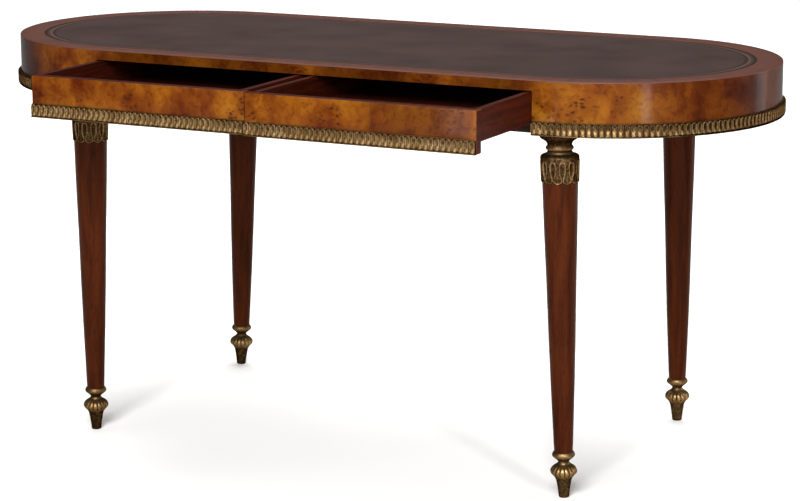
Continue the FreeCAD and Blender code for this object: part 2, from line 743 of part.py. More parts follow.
def drawer(doc, s, name, side):
    """Every piece of one drawer."""
    moulding = tongue_moulding(doc, s, f"{name}_drawer_moulding", StraightRun(s.drawer_width))
    drawer_place(moulding, s, side)
    start = side * (s.drawer_gap + s.drawer_width / 2) - s.drawer_width / 2
    moulding.setExpression("Placement.Base.x", start.text)
    return [
        drawer_front(doc, s, f"{name}_drawer_front", side), moulding,
        drawer_side(doc, s, f"{name}_drawer_outer_side", side, True),
        drawer_side(doc, s, f"{name}_drawer_inner_side", side, False),
        drawer_bottom(doc, s, f"{name}_drawer_bottom", side),
        drawer_back(doc, s, f"{name}_drawer_back", side),
    ]


def top(doc, s):
    """The top: core panel, crossband border and leather."""
    return [top_panel(doc, s), border_crossband(doc, s), writing_leather(doc, s)]


def carcass(doc, s):
    """The frieze: aprons, rails, runners, guide and blocks."""
    zero = Size.of(0)
    rail_end = s.apron_inner - s.rail_end_gap
    low, rail_high, high = s.frieze_bottom, s.frieze_bottom + s.front_rail_height, s.panel_bottom
    pieces = [
        end_apron(doc, s, "right_end_apron", 1), end_apron(doc, s, "left_end_apron", -1),
        board(doc, "back_rail", -s.half_opening, s.half_opening, s.apron_inner, s.end_radius, low, high),
        board(doc, "front_rail", -s.rail_face, s.rail_face, -s.front_rail_face, -s.front_rail_back,
              low, rail_high),
        board(doc, "right_cross_rail", s.rail_face, s.rail_outer, -rail_end, rail_end, low, high),
        board(doc, "left_cross_rail", -s.rail_outer, -s.rail_face, -rail_end, rail_end, low, high),
    ]
    runner_inner = s.rail_face - s.runner_width
    half_centre, half_guide = s.centre_runner_width / 2, s.guide_width / 2
    for label, left, right in (("right_runner", runner_inner, s.rail_face),
                               ("left_runner", -s.rail_face, -runner_inner),
                               ("centre_runner", -half_centre, half_centre)):
        pieces.append(board(doc, label, left, right, -s.front_rail_back, s.apron_inner, low, rail_high))
    guide_front = zero - s.front_rail_face + s.guide_setback
    pieces.append(board(doc, "centre_guide", -half_guide, half_guide, guide_front, s.apron_inner,
                        rail_high, high))
    blocks = [leg_block(doc, s, f"{name}_leg_block", side_x, side_y) for name, side_x, side_y in LEG_PLACES]
    return pieces + [group(doc, "leg_blocks", blocks), glue_blocks(doc, s)]


def mouldings(doc, s):
    """Tongue moulding round both ends and along the back."""
    back = tongue_moulding(doc, s, "back_moulding", StraightRun(2 * s.half_opening))
    place(back, x=s.half_opening, y=s.end_radius, z=s.frieze_bottom, turn=180)
    ends = [end_moulding(doc, s, f"{name}_end_moulding", side) for name, side in (("right", 1), ("left", -1))]
    return ends + [back]


def legs(doc, s):
    """Four legs, and the capitals, feet and screws of all four, each kind in one group."""
    pieces = [leg(doc, s, f"{name}_leg", side_x, side_y) for name, side_x, side_y in LEG_PLACES]
    capitals = [capital(doc, s, f"{name}_capital", side_x, side_y) for name, side_x, side_y in LEG_PLACES]
    feet = [foot(doc, s, f"{name}_foot", side_x, side_y) for name, side_x, side_y in LEG_PLACES]
    return pieces + [group(doc, "leg_capitals", capitals), group(doc, "leg_feet", feet), leg_screws(doc, s)]


def check(doc, pieces):
    """Stop with a message if any feature failed or any piece is empty or invalid."""
    failed = [item.Label for item in doc.Objects if {"Invalid", "Error"} & set(item.State)]
    empty = [piece.Label for piece in pieces if piece.Shape.isNull() or not piece.Shape.isValid()]
    if failed or empty:
        raise RuntimeError(f"failed features: {failed}; empty or invalid pieces: {empty}")


def export(pieces):
    """Write each piece to its own STEP file, named after its label."""
    os.makedirs("parts", exist_ok=True)
    for piece in pieces:
        piece.Shape.exportStep(f"parts/{piece.Label}.step")
        print(f"{piece.Label}: {len(piece.Shape.Solids)} solid(s), {piece.Shape.Volume / 1000:.1f} cm3")


def main():
    """Build the desk, check it and write its pieces."""
    doc = FreeCAD.newDocument("WritingDesk")
    s = Sheet(doc)
    pieces = top(doc, s) + carcass(doc, s) + mouldings(doc, s) + legs(doc, s)
    for name, side in (("left", -1), ("right", 1)):
        pieces += drawer(doc, s, name, side)
    doc.recompute()
    check(doc, pieces)
    export(pieces)
    print(f"{len(pieces)} pieces")


main()
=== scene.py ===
"""Racetrack-shaped writing desk with a leather-lined top, two frieze drawers and four turned legs.

Everything is in metres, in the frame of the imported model: +X along the desk, the sitter at -Y, +Z up,
the origin on the floor at the centre of the four feet. Both drawers stand open, as photographed.
"""

import logging
import math
from dataclasses import dataclass
from enum import Enum
from functools import cache, partial
from typing import Any, Iterable, Sequence

import bmesh
import bpy
from mathutils import Matrix, Vector


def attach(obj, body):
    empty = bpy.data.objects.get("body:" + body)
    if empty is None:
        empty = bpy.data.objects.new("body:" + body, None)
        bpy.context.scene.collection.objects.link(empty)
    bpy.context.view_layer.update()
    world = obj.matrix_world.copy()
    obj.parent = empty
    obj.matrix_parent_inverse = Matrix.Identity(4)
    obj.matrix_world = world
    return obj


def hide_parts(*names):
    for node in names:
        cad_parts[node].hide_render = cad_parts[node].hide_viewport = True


LOG = logging.getLogger("writing_desk")
MM = 0.001
Point = tuple[float, float, float]
# Settings of a Mix node that darkens one colour by another.
DARKEN = {"data_type": "RGBA", "blend_type": "MULTIPLY"}


class Body(Enum):
    """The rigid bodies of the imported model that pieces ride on."""

    CARCASS = "carcass"
    LEFT_DRAWER = "left_drawer"
    RIGHT_DRAWER = "right_drawer"


class Corner(Enum):
    """The four legs: which end and which side of the desk each one stands at."""

    FRONT_LEFT = (-1, -1)
    FRONT_RIGHT = (1, -1)
    BACK_LEFT = (-1, 1)
    BACK_RIGHT = (1, 1)


def linear(hex_colour: str) -> tuple[float, float, float, float]:
    """Turns an sRGB hex colour into linear red, green, blue and an alpha of one.

    Args:
        hex_colour: a colour such as "#8a4a16".

    Returns:
        The linear colour with alpha.
    """
    channels = [int(hex_colour[start:start + 2], 16) / 255 for start in (1, 3, 5)]
    red, green, blue = (c / 12.92 if c <= 0.04045 else ((c + 0.055) / 1.055) ** 2.4 for c in channels)
    return red, green, blue, 1.0


def per_mm(size_mm: float) -> float:
    """Returns the texture scale whose features repeat about every size_mm on the real object."""
    return 1.0 / (size_mm * MM)


def add_node(tree: bpy.types.NodeTree, kind: str, inputs: dict[Any, Any] | None = None,
             out: int | str = 0, **settings: Any) -> bpy.types.NodeSocket:
    """Adds one node to a tree.

    Numbered inputs: a MapRange node has its value, the two limits it comes from and the two it goes
    to as 0 to 4, and a Mix node of colours has its factor as 0 and the colours as 6 and 7.

    Args:
        tree: the node tree.
        kind: the node's type, without the leading "ShaderNode".
        inputs: a constant, or the socket to connect, for each input by its name or number.
        out: the name or number of the output that the caller wants.
        settings: the node's own options by name.

    Returns:
        That output of the new node.
    """
    node = tree.nodes.new("ShaderNode" + kind)
    for name, value in settings.items():
        setattr(node, name, value)
    for name, value in (inputs or {}).items():
        if isinstance(value, bpy.types.NodeSocket):
            tree.links.new(value, node.inputs[name])
        else:
            node.inputs[name].default_value = value
    return node.outputs[out]


def fill_ramp(ramp: bpy.types.NodeSocket, stops: Sequence[tuple[float, str]]) -> bpy.types.NodeSocket:
    """Sets a colour ramp's stops.

    Args:
        ramp: the colour output of the ramp's node.
        stops: place and sRGB hex colour of each stop.

    Returns:
        The same output.
    """
    elements = ramp.node.color_ramp.elements
    while len(elements) > 1:
        elements.remove(elements[-1])
    for number, (place, colour) in enumerate(stops):
        element = elements[0] if number == 0 else elements.new(place)
        element.position = place
        element.color = linear(colour)
    return ramp


@dataclass(frozen=True)
class Finish:
    """A surface finish: the material it makes and the record's slot that it belongs to."""

    name: str
    slot: str = ""
    roughness: float = 0.5
    metallic: float = 0.0
    coat: float = 0.0
    coat_roughness: float = 0.1
    specular: float = 0.5
    edge_tint: str = ""

    @cache
    def material(self) -> bpy.types.Material:
        """Makes the finish's material on first use.

        Returns:
            The material, the same one each time.
        """
        made = bpy.data.materials.new(self.name + "_finish")
        made.use_nodes = True
        shader = made.node_tree.nodes["Principled BSDF"]
        for socket, value in (("Roughness", self.roughness), ("Metallic", self.metallic),
                              ("Coat Weight", self.coat), ("Coat Roughness", self.coat_roughness),
                              ("Specular IOR Level", self.specular)):
            shader.inputs[socket].default_value = value
        if self.edge_tint:
            shader.inputs["Specular Tint"].default_value = linear(self.edge_tint)
        self.paint(made.node_tree, shader)
        return made

    def paint(self, tree: bpy.types.NodeTree, shader: bpy.types.Node) -> None:
        """Links colour, roughness and relief into the shader; a plain finish has none.

        Args:
            tree: the material's node tree.
            shader: its principled shader.
        """

    def bump(self, tree: bpy.types.NodeTree, shader: bpy.types.Node, height: bpy.types.NodeSocket,
             depth_mm: float, strength: float) -> None:
        """Links a height pattern into the shader's normal.

        Args:
            tree: the material's node tree.
            shader: its principled shader.
            height: the pattern, from nought to one.
            depth_mm: the real depth of the pattern.
            strength: how much of the relief is kept.
        """
        relief = add_node(tree, "Bump", {"Strength": strength, "Distance": depth_mm * MM, "Height": height})
        tree.links.new(relief, shader.inputs["Normal"])


@dataclass(frozen=True)
class BurlVeneer(Finish):
    """Burl veneer, sliced from a burr, bleached and french polished.

    The eye sees golden-orange wood clouded with red-brown, fine swirling figure, and clusters of
    small dark burr eyes under a soft gloss.
    """

    name: str = "burl_veneer"
    slot: str = "burl_veneer"
    roughness: float = 0.42
    coat: float = 0.055
    coat_roughness: float = 0.12
    specular: float = 0.03
    drift_mm: float = 60.0
    drift_reach: float = 0.035
    cloud_mm: float = 95.0
    column_mm: float = 46.0
    column_height_mm: float = 190.0
    column_share: float = 0.35
    figure_mm: float = 12.0
    eye_mm: float = 11.5
    eye_squash: float = 1.5
    cluster_mm: float = 62.0
    # Painted shade at the ends: where along the desk it starts and where it is full, and how strong it gets.
    end_shade_start: float = 0.56
    end_shade_full: float = 0.76
    end_shade_strength: float = 0.9
    shade_core: float = 0.4
    shade_strength: float = 0.85
    burr_core: float = 0.5
    burr_strength: float = 0.9
    halo_share: float = 0.7
    figure_share: float = 0.6
    # Middle and radius of the burr clusters that can be made out in the photograph, in metres.
    burrs: tuple[tuple[Point, float], ...] = (
        ((0.541, -0.314, 0.716), 0.030), ((0.606, -0.289, 0.724), 0.026), ((-0.030, -0.5415, 0.692), 0.024),
        ((0.178, -0.550, 0.704), 0.034), ((-0.238, -0.5415, 0.711), 0.026),
        ((-0.436, -0.5415, 0.704), 0.022), ((0.406, -0.550, 0.712), 0.046), ((0.500, -0.322, 0.690), 0.016),
        ((-0.107, -0.325, 0.752), 0.024), ((-0.023, -0.325, 0.752), 0.028), ((0.136, -0.325, 0.752), 0.028),
        ((0.244, -0.325, 0.752), 0.032))
    # Middle and radius of the darker places, in metres: the three round the left end are painted shade, the
    # rest are darker patches in the sheets.
    dark_patches_and_painted_shade: tuple[tuple[Point, float], ...] = (
        ((0.330, -0.550, 0.705), 0.130), ((-0.730, -0.175, 0.705), 0.190), ((-0.680, -0.235, 0.715), 0.170),
        ((-0.745, -0.140, 0.720), 0.220), ((-0.330, -0.325, 0.752), 0.120), ((-0.165, -0.325, 0.752), 0.085),
        ((-0.070, -0.325, 0.752), 0.070), ((0.080, -0.325, 0.752), 0.085), ((0.165, -0.325, 0.752), 0.060),
        ((0.400, -0.325, 0.752), 0.080))

    def near(self, tree: bpy.types.NodeTree, place: bpy.types.NodeSocket, middle: Point,
             radius: float, core: float, strength: float) -> bpy.types.NodeSocket:
        """Returns a mask that is full near a point and fades to nought at a radius.

        Args:
            tree: the material's node tree.
            place: the place on the surface.
            middle: the point.
            radius: the distance at which the mask ends.
            core: the share of the radius inside which the mask is full.
            strength: its value there.

        Returns:
            The mask.
        """
        away = add_node(tree, "VectorMath", {0: place, 1: middle}, "Value", operation="DISTANCE")
        return add_node(tree, "MapRange", {0: away, 1: radius * core, 2: radius, 3: strength, 4: 0.0})

    def paint(self, tree: bpy.types.NodeTree, shader: bpy.types.Node) -> None:
        """Mixes clouds, upright flame, painted shade at the ends, darker patches (round the left end also
        painted shade), fine figure and burr eyes into the colour.

        Args:
            tree: the material's node tree.
            shader: its principled shader.
        """
        add = partial(add_node, tree)
        place = add("TexCoord", out="Object")
        drift = add("TexNoise", {"Scale": per_mm(self.drift_mm), "Detail": 2.0, "Vector": place}, "Color")
        centred = add("VectorMath", {0: drift, 1: (0.5, 0.5, 0.5)}, operation="SUBTRACT")
        swirl = add("VectorMath", {0: centred, "Scale": self.drift_reach}, operation="SCALE")
        warped = add("VectorMath", {0: place, 1: swirl}, operation="ADD")
        clouds = add("TexNoise", {"Scale": per_mm(self.cloud_mm), "Detail": 3.0, "Roughness": 0.55,
                                  "Vector": warped})
        column = per_mm(self.column_mm)
        upright = add("Mapping", {"Scale": (column, column, per_mm(self.column_height_mm)),
                                  "Vector": warped})
        flame = add("TexNoise", {"Scale": 1.0, "Detail": 3.0, "Roughness": 0.6, "Vector": upright})
        blend = add("Mix", {0: self.column_share, 2: clouds, 3: flame}, data_type="FLOAT")
        sheet = fill_ramp(add("ValToRGB", {0: blend}), [
            (0.36, "#431704"), (0.44, "#582a07"), (0.50, "#68380a"), (0.58, "#71420c"), (0.67, "#7a4e12")])
        # Painted shade: the sheets bent round the two ends are made redder and darker than those along the
        # front, for faces turned away from the light.
        side = add("Math", {0: add("SeparateXYZ", {0: place}, "X")}, operation="ABSOLUTE")
        end = add("MapRange", {0: side, 1: self.end_shade_start, 2: self.end_shade_full, 3: 0.0, 4: self.end_shade_strength})
        sheet = add("Mix", {0: end, 6: sheet, 7: linear("#a38372")}, 2, **DARKEN)
        # Darker places: painted shade round the left end, darker patches of the sheets elsewhere.
        for middle, radius in self.dark_patches_and_painted_shade:
            shade = self.near(tree, warped, middle, radius, self.shade_core, self.shade_strength)
            sheet = add("Mix", {0: shade, 6: sheet, 7: linear("#b3a29c")}, 2, **DARKEN)
        figure = add("TexNoise", {"Scale": per_mm(self.figure_mm), "Detail": 5.0, "Roughness": 0.55,
                                  "Distortion": 0.8, "Vector": warped})
        lines = fill_ramp(add("ValToRGB", {0: figure}), [
            (0.36, "#b79a80"), (0.50, "#f2ebe4"), (0.62, "#ffffff")])
        sheet = add("Mix", {0: self.figure_share, 6: sheet, 7: lines}, 2, **DARKEN)
        eye, eye_height = per_mm(self.eye_mm), per_mm(self.eye_mm / self.eye_squash)
        squat = add("Mapping", {"Scale": (eye, eye, eye_height), "Vector": warped})
        cells = add("TexVoronoi", {"Scale": 1.0, "Randomness": 0.95, "Vector": squat}, "Distance")
        pupil = add("MapRange", {0: cells, 1: 0.22, 2: 0.46, 3: 1.0, 4: 0.0})
        cluster = add("TexNoise", {"Scale": per_mm(self.cluster_mm), "Detail": 2.0, "Vector": place})
        where = add("MapRange", {0: cluster, 1: 0.60, 2: 0.66, 3: 0.0, 4: 0.8})
        for middle, radius in self.burrs:
            burr = self.near(tree, warped, middle, radius, self.burr_core, self.burr_strength)
            where = add("Math", {0: where, 1: burr}, operation="MAXIMUM")
        halo = add("Math", {0: where, 1: self.halo_share}, operation="MULTIPLY")
        sheet = add("Mix", {0: halo, 6: sheet, 7: linear("#cbb0a2")}, 2, **DARKEN)
        eyes = add("Math", {0: pupil, 1: where}, operation="MULTIPLY")
        colour = add("Mix", {0: eyes, 6: sheet, 7: linear("#341104")}, 2, data_type="RGBA")
        tree.links.new(colour, shader.inputs["Base Color"])
        self.bump(tree, shader, figure, depth_mm=0.03, strength=0.15)


@dataclass(frozen=True, kw_only=True)
class StripedWood(Finish):
    """Straight-grained wood, planed or turned, stained and polished.

    The eye sees long fine streaks of light and dark along the grain, and short dark pores.
    """

    light: str
    dark: str
    streak_mm: float = 7.0
    along_mm: float = 160.0
    pore_mm: float = 1.1
    pores_along: float = 9.0
    pore_share: float = 0.7
    grain_axis: int = 2

    def paint(self, tree: bpy.types.NodeTree, shader: bpy.types.Node) -> None:
        """Mixes streaks and pores into the colour.

        Args:
            tree: the material's node tree.
            shader: its principled shader.
        """
        add = partial(add_node, tree)
        place = add("TexCoord", out="Object")
        stretch = [per_mm(self.streak_mm)] * 3
        stretch[self.grain_axis] = per_mm(self.along_mm)
        fine = [per_mm(self.pore_mm)] * 3
        fine[self.grain_axis] = per_mm(self.along_mm / self.pores_along)
        streaks = add("TexNoise", {"Scale": 1.0, "Detail": 4.0, "Distortion": 0.5,
                                   "Vector": add("Mapping", {"Scale": stretch, "Vector": place})})
        pores = add("TexNoise", {"Scale": 1.0, "Detail": 2.0,
                                 "Vector": add("Mapping", {"Scale": fine, "Vector": place})})
        base = fill_ramp(add("ValToRGB", {0: streaks}), [(0.34, self.dark), (0.64, self.light)])
        shade = fill_ramp(add("ValToRGB", {0: pores}), [(0.34, "#b4a49c"), (0.48, "#ffffff")])
        colour = add("Mix", {0: self.pore_share, 6: base, 7: shade}, 2, **DARKEN)
        tree.links.new(colour, shader.inputs["Base Color"])
        self.bump(tree, shader, pores, depth_mm=0.08, strength=0.3)


@dataclass(frozen=True)
class Crossbanding(Finish):
    """Crossbanded border veneer, laid with its grain square to the edge and waxed.

    The eye sees a warm brown band with faint streaks across it and a low sheen.
    """

    name: str = "crossband_veneer"
    slot: str = "crossband_veneer"
    roughness: float = 0.4
    coat: float = 0.08
    coat_roughness: float = 0.3
    specular: float = 0.12
    streak_mm: float = 3.2
    streak_length_mm: float = 70.0
    light: str = "#5a3022"
    dark: str = "#3d1f16"

    def paint(self, tree: bpy.types.NodeTree, shader: bpy.types.Node) -> None:
        """Runs fine streaks across the band, by its measured length along the edge.

        Args:
            tree: the material's node tree.
            shader: its principled shader.
        """
        add = partial(add_node, tree)
        place = add("CombineXYZ", {number: add("Attribute", out="Fac", attribute_name=name)
                                   for number, name in enumerate(("along", "inset"))})
        stretched = add("Mapping", {"Scale": (per_mm(self.streak_mm), per_mm(self.streak_length_mm), 1.0),
                                    "Vector": place})
        streaks = add("TexNoise", {"Scale": 1.0, "Detail": 5.0, "Roughness": 0.6, "Vector": stretched})
        colour = fill_ramp(add("ValToRGB", {0: streaks}), [(0.34, self.dark), (0.66, self.light)])
        tree.links.new(colour, shader.inputs["Base Color"])
        self.bump(tree, shader, streaks, depth_mm=0.03, strength=0.3)


@dataclass(frozen=True)
class WritingHide(Finish):
    """Writing leather: skived hide, dyed dark brown, glued down and tooled near its edge.

    The eye sees a dull satin field with a fine pebble, two darker lines near the edge and a paler
    worn band of tooling between them.
    """

    name: str = "writing_leather"
    slot: str = "writing_leather"
    roughness: float = 0.6
    specular: float = 0.07
    pebble_mm: float = 1.6
    blotch_mm: float = 130.0
    edge_line: tuple[float, float] = (0.0, 0.0060)
    tooled_band: tuple[float, float] = (0.0105, 0.0150)
    inner_line: tuple[float, float] = (0.0165, 0.0215)
    motif_length: float = 0.009
    motif_least: float = 0.2
    motif_most: float = 0.55

    def band(self, tree: bpy.types.NodeTree, inset: bpy.types.NodeSocket,
             limits: tuple[float, float]) -> bpy.types.NodeSocket:
        """Returns one inside a band of distances from the leather's edge and nought outside it.

        Args:
            tree: the material's node tree.
            inset: distance from the leather's edge, in metres.
            limits: where the band starts and ends, in metres.

        Returns:
            The band's mask.
        """
        middle, half = sum(limits) / 2, (limits[1] - limits[0]) / 2
        return add_node(tree, "Math", {0: inset, 1: middle, 2: half}, operation="COMPARE")

    def paint(self, tree: bpy.types.NodeTree, shader: bpy.types.Node) -> None:
        """Lays the field, the dark lines and the tooled band, then the pebble.

        Args:
            tree: the material's node tree.
            shader: its principled shader.
        """
        add = partial(add_node, tree)
        place = add("TexCoord", out="Object")
        inset, along = (add("Attribute", out="Fac", attribute_name=name) for name in ("inset", "along"))
        blotch = add("TexNoise", {"Scale": per_mm(self.blotch_mm), "Detail": 5.0, "Vector": place})
        field = fill_ramp(add("ValToRGB", {0: blotch}), [(0.35, "#2d1f1c"), (0.65, "#372825")])
        edge, tooled, inner = (self.band(tree, inset, limits)
                               for limits in (self.edge_line, self.tooled_band, self.inner_line))
        line = add("Math", {0: edge, 1: inner}, operation="MAXIMUM")
        lined = add("Mix", {0: line, 6: field, 7: linear("#20140f")}, 2, data_type="RGBA")
        # The stamped motif repeats as a roller tool leaves it, worn and low in contrast.
        wave = add("Math", {0: along, 1: 2 * math.pi / self.motif_length}, operation="MULTIPLY")
        swing = add("Math", {0: wave}, operation="SINE")
        motif = add("MapRange", {0: swing, 1: -1.0, 2: 1.0, 3: self.motif_least, 4: self.motif_most})
        amount = add("Math", {0: tooled, 1: motif}, operation="MULTIPLY")
        colour = add("Mix", {0: amount, 6: lined, 7: linear("#63493a")}, 2, data_type="RGBA")
        tree.links.new(colour, shader.inputs["Base Color"])
        pebble = add("TexVoronoi", {"Scale": per_mm(self.pebble_mm), "Vector": place}, "Distance")
        self.bump(tree, shader, pebble, depth_mm=0.12, strength=0.35)


@dataclass(frozen=True)
class AntiqueBrass(Finish):
    """Cast and chased brass, lacquered long ago and browned with age.

    The eye sees dull gold where hands and cloths reach, and brown-black tarnish in every hollow.
    """

    name: str = "antique_brass"
    slot: str = "antique_brass"
    roughness: float = 0.34
    metallic: float = 1.0
    edge_tint: str = "#33200f"
    tarnish_roughness: float = 0.62
    bloom_mm: float = 26.0
    grime_mm: float = 4.5
    # Painted shade towards the desk's ends: the middle it is reckoned from along X, where it starts and
    # where it is full, and its strongest.
    end_shade_offset: float = 0.08
    end_shade_from: float = 0.54
    end_shade_to: float = 0.80
    end_shade_most: float = 0.72

    def paint(self, tree: bpy.types.NodeTree, shader: bpy.types.Node) -> None:
        """Darkens the hollows by the depth that the mesh carries (on the capitals this holds painted shade
        too), darkens the desk's ends as painted shade, and clouds the rest.

        Args:
            tree: the material's node tree.
            shader: its principled shader.
        """
        add = partial(add_node, tree)
        place = add("TexCoord", out="Object")
        hollow = add("Attribute", out="Fac", attribute_name="hollow")
        bloom = add("TexNoise", {"Scale": per_mm(self.bloom_mm), "Detail": 5.0, "Roughness": 0.65,
                                 "Vector": place})
        metal = fill_ramp(add("ValToRGB", {0: bloom}), [
            (0.35, "#7b5f3b"), (0.52, "#957850"), (0.68, "#ac8f66")])
        grime = add("TexNoise", {"Scale": per_mm(self.grime_mm), "Detail": 3.0, "Vector": place})
        speck = add("MapRange", {0: grime, 1: 0.35, 2: 0.7, 3: -0.12, 4: 0.2})
        # Painted shade: the brass is darkened towards the ends of the desk, the left end most.
        offset = add("Math", {0: add("SeparateXYZ", {0: place}, "X"), 1: self.end_shade_offset},
                     operation="SUBTRACT")
        side = add("Math", {0: offset}, operation="ABSOLUTE")
        end_shade_mask = add("MapRange", {0: side, 1: self.end_shade_from, 2: self.end_shade_to, 3: 0.0,
                                 4: self.end_shade_most})
        grime_and_end_shade = add("Math", {0: speck, 1: end_shade_mask}, operation="ADD")
        # The hollows' depth, the grime specks and the painted shade at the ends darken the brass together.
        depth = add("Math", {0: hollow, 1: grime_and_end_shade}, operation="ADD", use_clamp=True)
        colour = add("Mix", {0: depth, 6: metal, 7: linear("#2a1a0c")}, 2, data_type="RGBA")
        tree.links.new(colour, shader.inputs["Base Color"])
        dull = add("MapRange", {0: depth, 1: 0.0, 2: 1.0, 3: self.roughness, 4: self.tarnish_roughness})
        tree.links.new(dull, shader.inputs["Roughness"])
        self.bump(tree, shader, grime, depth_mm=0.08, strength=0.35)


@dataclass(frozen=True)
class PlainSteel(Finish):
    """Mild steel, turned and left plain: grey with a dull shine and a trace of brown."""

    name: str = "steel"
    slot: str = "steel"
    roughness: float = 0.42
    metallic: float = 1.0
    rust_mm: float = 9.0

    def paint(self, tree: bpy.types.NodeTree, shader: bpy.types.Node) -> None:
        """Clouds the steel with a little rust.

        Args:
            tree: the material's node tree.
            shader: its principled shader.
        """
        place = add_node(tree, "TexCoord", out="Object")
        rust = add_node(tree, "TexNoise", {"Scale": per_mm(self.rust_mm), "Detail": 4.0, "Vector": place})
        colour = fill_ramp(add_node(tree, "ValToRGB", {0: rust}), [(0.45, "#8a8780"), (0.72, "#6a5444")])
        tree.links.new(colour, shader.inputs["Base Color"])


@dataclass(frozen=True)
class StudioPaper(Finish):
    """Matt background paper: pale, even and without gloss."""

    name: str = "studio_paper"
    roughness: float = 0.95
    specular: float = 0.0

    def paint(self, tree: bpy.types.NodeTree, shader: bpy.types.Node) -> None:
        """Sets the paper's one pale colour."""
        shader.inputs["Base Color"].default_value = linear("#f7f6f4")


BURL = BurlVeneer()
CROSSBAND = Crossbanding()
LEATHER = WritingHide()
BRASS = AntiqueBrass()
STEEL = PlainSteel()
# Turned mahogany, stained red and polished: a warm red-brown with a soft shine.
MAHOGANY = StripedWood(name="mahogany", slot="mahogany", roughness=0.34, specular=0.022,
                       streak_mm=14.0, light="#3f1a08", dark="#2b1005")
# Planed mahogany, waxed: darker, redder and duller, with the grain front to back.
DRAWER_WOOD = StripedWood(name="drawer_wood", slot="drawer_wood", roughness=0.5,
                          specular=0.04, light="#40160b", dark="#2c0e07", grain_axis=1)
# Sawn secondary wood, stained dark: dull brown that nobody is meant to look at.
CARCASS_WOOD = StripedWood(name="carcass_wood", slot="carcass_wood", roughness=0.6, specular=0.08,
                           light="#2e1b12", dark="#1c1009", grain_axis=0)


def make_piece(mesh: bpy.types.Mesh, shell: bmesh.types.BMesh, finishes: Sequence[Finish],
               sharp_degrees: float) -> bpy.types.Object:
    """Makes a piece from its worked faces, smooth except across sharp edges.

    Args:
        mesh: an empty mesh with the piece's name, or the one that the faces were read from.
        shell: the worked faces, which are let go.
        finishes: the piece's finishes, in the order of its slots.
        sharp_degrees: edges that turn more than this stay crisp.

    Returns:
        The object, linked to the scene.
    """
    shell.to_mesh(mesh)
    shell.free()
    mesh.shade_smooth()
    mesh.set_sharp_from_angle(angle=math.radians(sharp_degrees))
    for finish in finishes:
        mesh.materials.append(finish.material())
    piece = bpy.data.objects.new(mesh.name, mesh)
    bpy.context.scene.collection.objects.link(piece)
    return piece


class PieceMesh:
    """Points, faces and measures of one piece, which become a Blender object at the end."""

    def __init__(self, name: str) -> None:
        """Starts an empty mesh.

        Args:
            name: the piece's name.
        """
        self.name = name
        self.points: list[Vector] = []
        self.faces: list[tuple[int, ...]] = []
        self.slots: list[int] = []
        self.measures: dict[str, dict[int, float]] = {}

    def add_ring(self, ring: Iterable[Vector], **measures: Sequence[float]) -> list[int]:
        """Adds a ring of points.

        Args:
            ring: the points.
            measures: values to keep for each point, by name.

        Returns:
            The points' numbers.
        """
        start = len(self.points)
        self.points.extend(ring)
        numbers = list(range(start, len(self.points)))
        for name, values in measures.items():
            self.measures.setdefault(name, {}).update(zip(numbers, values))
        return numbers

    def skin(self, rings: Sequence[list[int]], closed: bool = True, slots: Sequence[int] = (0,)) -> None:
        """Joins rings of equal length, one to the next, with four-sided faces.

        Args:
            rings: the rings' point numbers.
            closed: whether each ring's last point joins its first.
            slots: which of the piece's finishes the faces round a ring take, in turn.
        """
        for low, high in zip(rings, rings[1:]):
            for place in range(len(low) if closed else len(low) - 1):
                after = (place + 1) % len(low)
                self.faces.append((low[place], low[after], high[after], high[place]))
                self.slots.append(slots[place % len(slots)])

    def cap(self, ring: Sequence[int], slot: int = 0) -> None:
        """Closes a ring, by its point numbers, with one face of that finish."""
        self.faces.append(tuple(ring))
        self.slots.append(slot)

    def close(self, rings: Sequence[list[int]], slots: Sequence[int] = (0,), end_slot: int = 0) -> None:
        """Skins a row of closed rings and caps both its ends.

        Args:
            rings: the rings' point numbers.
            slots: which of the piece's finishes the faces round a ring take, in turn.
            end_slot: the finish of the two ends.
        """
        self.skin(rings, slots=slots)
        self.cap(rings[0], end_slot)
        self.cap(rings[-1], end_slot)

    def build(self, finishes: Sequence[Finish], sharp_degrees: float = 38.0) -> bpy.types.Object:
        """Makes the Blender object with its measures, all faces looking outward.

        Args:
            finishes: the piece's finishes, in the order of its slots.
            sharp_degrees: edges that turn more than this stay crisp.

        Returns:
            The object, linked to the scene.
        """
        mesh = bpy.data.meshes.new(self.name)
        mesh.from_pydata(self.points, [], self.faces)
        mesh.polygons.foreach_set("material_index", self.slots)
        for name, values in self.measures.items():
            layer = mesh.attributes.new(name, "FLOAT", "POINT")
            layer.data.foreach_set("value", [values.get(n, 0.0) for n in range(len(self.points))])
        shell = bmesh.new()
        shell.from_mesh(mesh)
        bmesh.ops.recalc_face_normals(shell, faces=shell.faces)
        return make_piece(mesh, shell, finishes, sharp_degrees)


def seat(piece: bpy.types.Object, body: Body, slot: str, *nodes: str) -> None:
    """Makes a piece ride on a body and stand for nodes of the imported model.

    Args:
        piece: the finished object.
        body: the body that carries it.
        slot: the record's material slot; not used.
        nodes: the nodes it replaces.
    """
    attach(piece, body.value)
    if nodes:
        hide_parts(*nodes)
    LOG.info("%s rides on %s", piece.name, body.value)


def polish_node(name: str, finish: Finish, bevel_mm: float = 0.5) -> None:
    """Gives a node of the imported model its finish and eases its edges.

    Args:
        name: the node.
        finish: its finish.
        bevel_mm: the width of the eased edges, or nought for none.
    """
    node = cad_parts[name]
    for slot in node.material_slots:
        slot.material = finish.material()
    if bevel_mm:
        ease = node.modifiers.new("eased_edges", "BEVEL")
        ease.width = bevel_mm * MM
        ease.segments = 2
        ease.limit_method = "ANGLE"
        ease.angle_limit = math.radians(40)
        ease.harden_normals = False
    LOG.info("%s is finished in %s", name, finish.name)


def bulge(share: float) -> float:
    """Returns the height of a round back at a share of its half width, from one down to nought."""
    return math.sqrt(max(0.0, 1.0 - share * share))


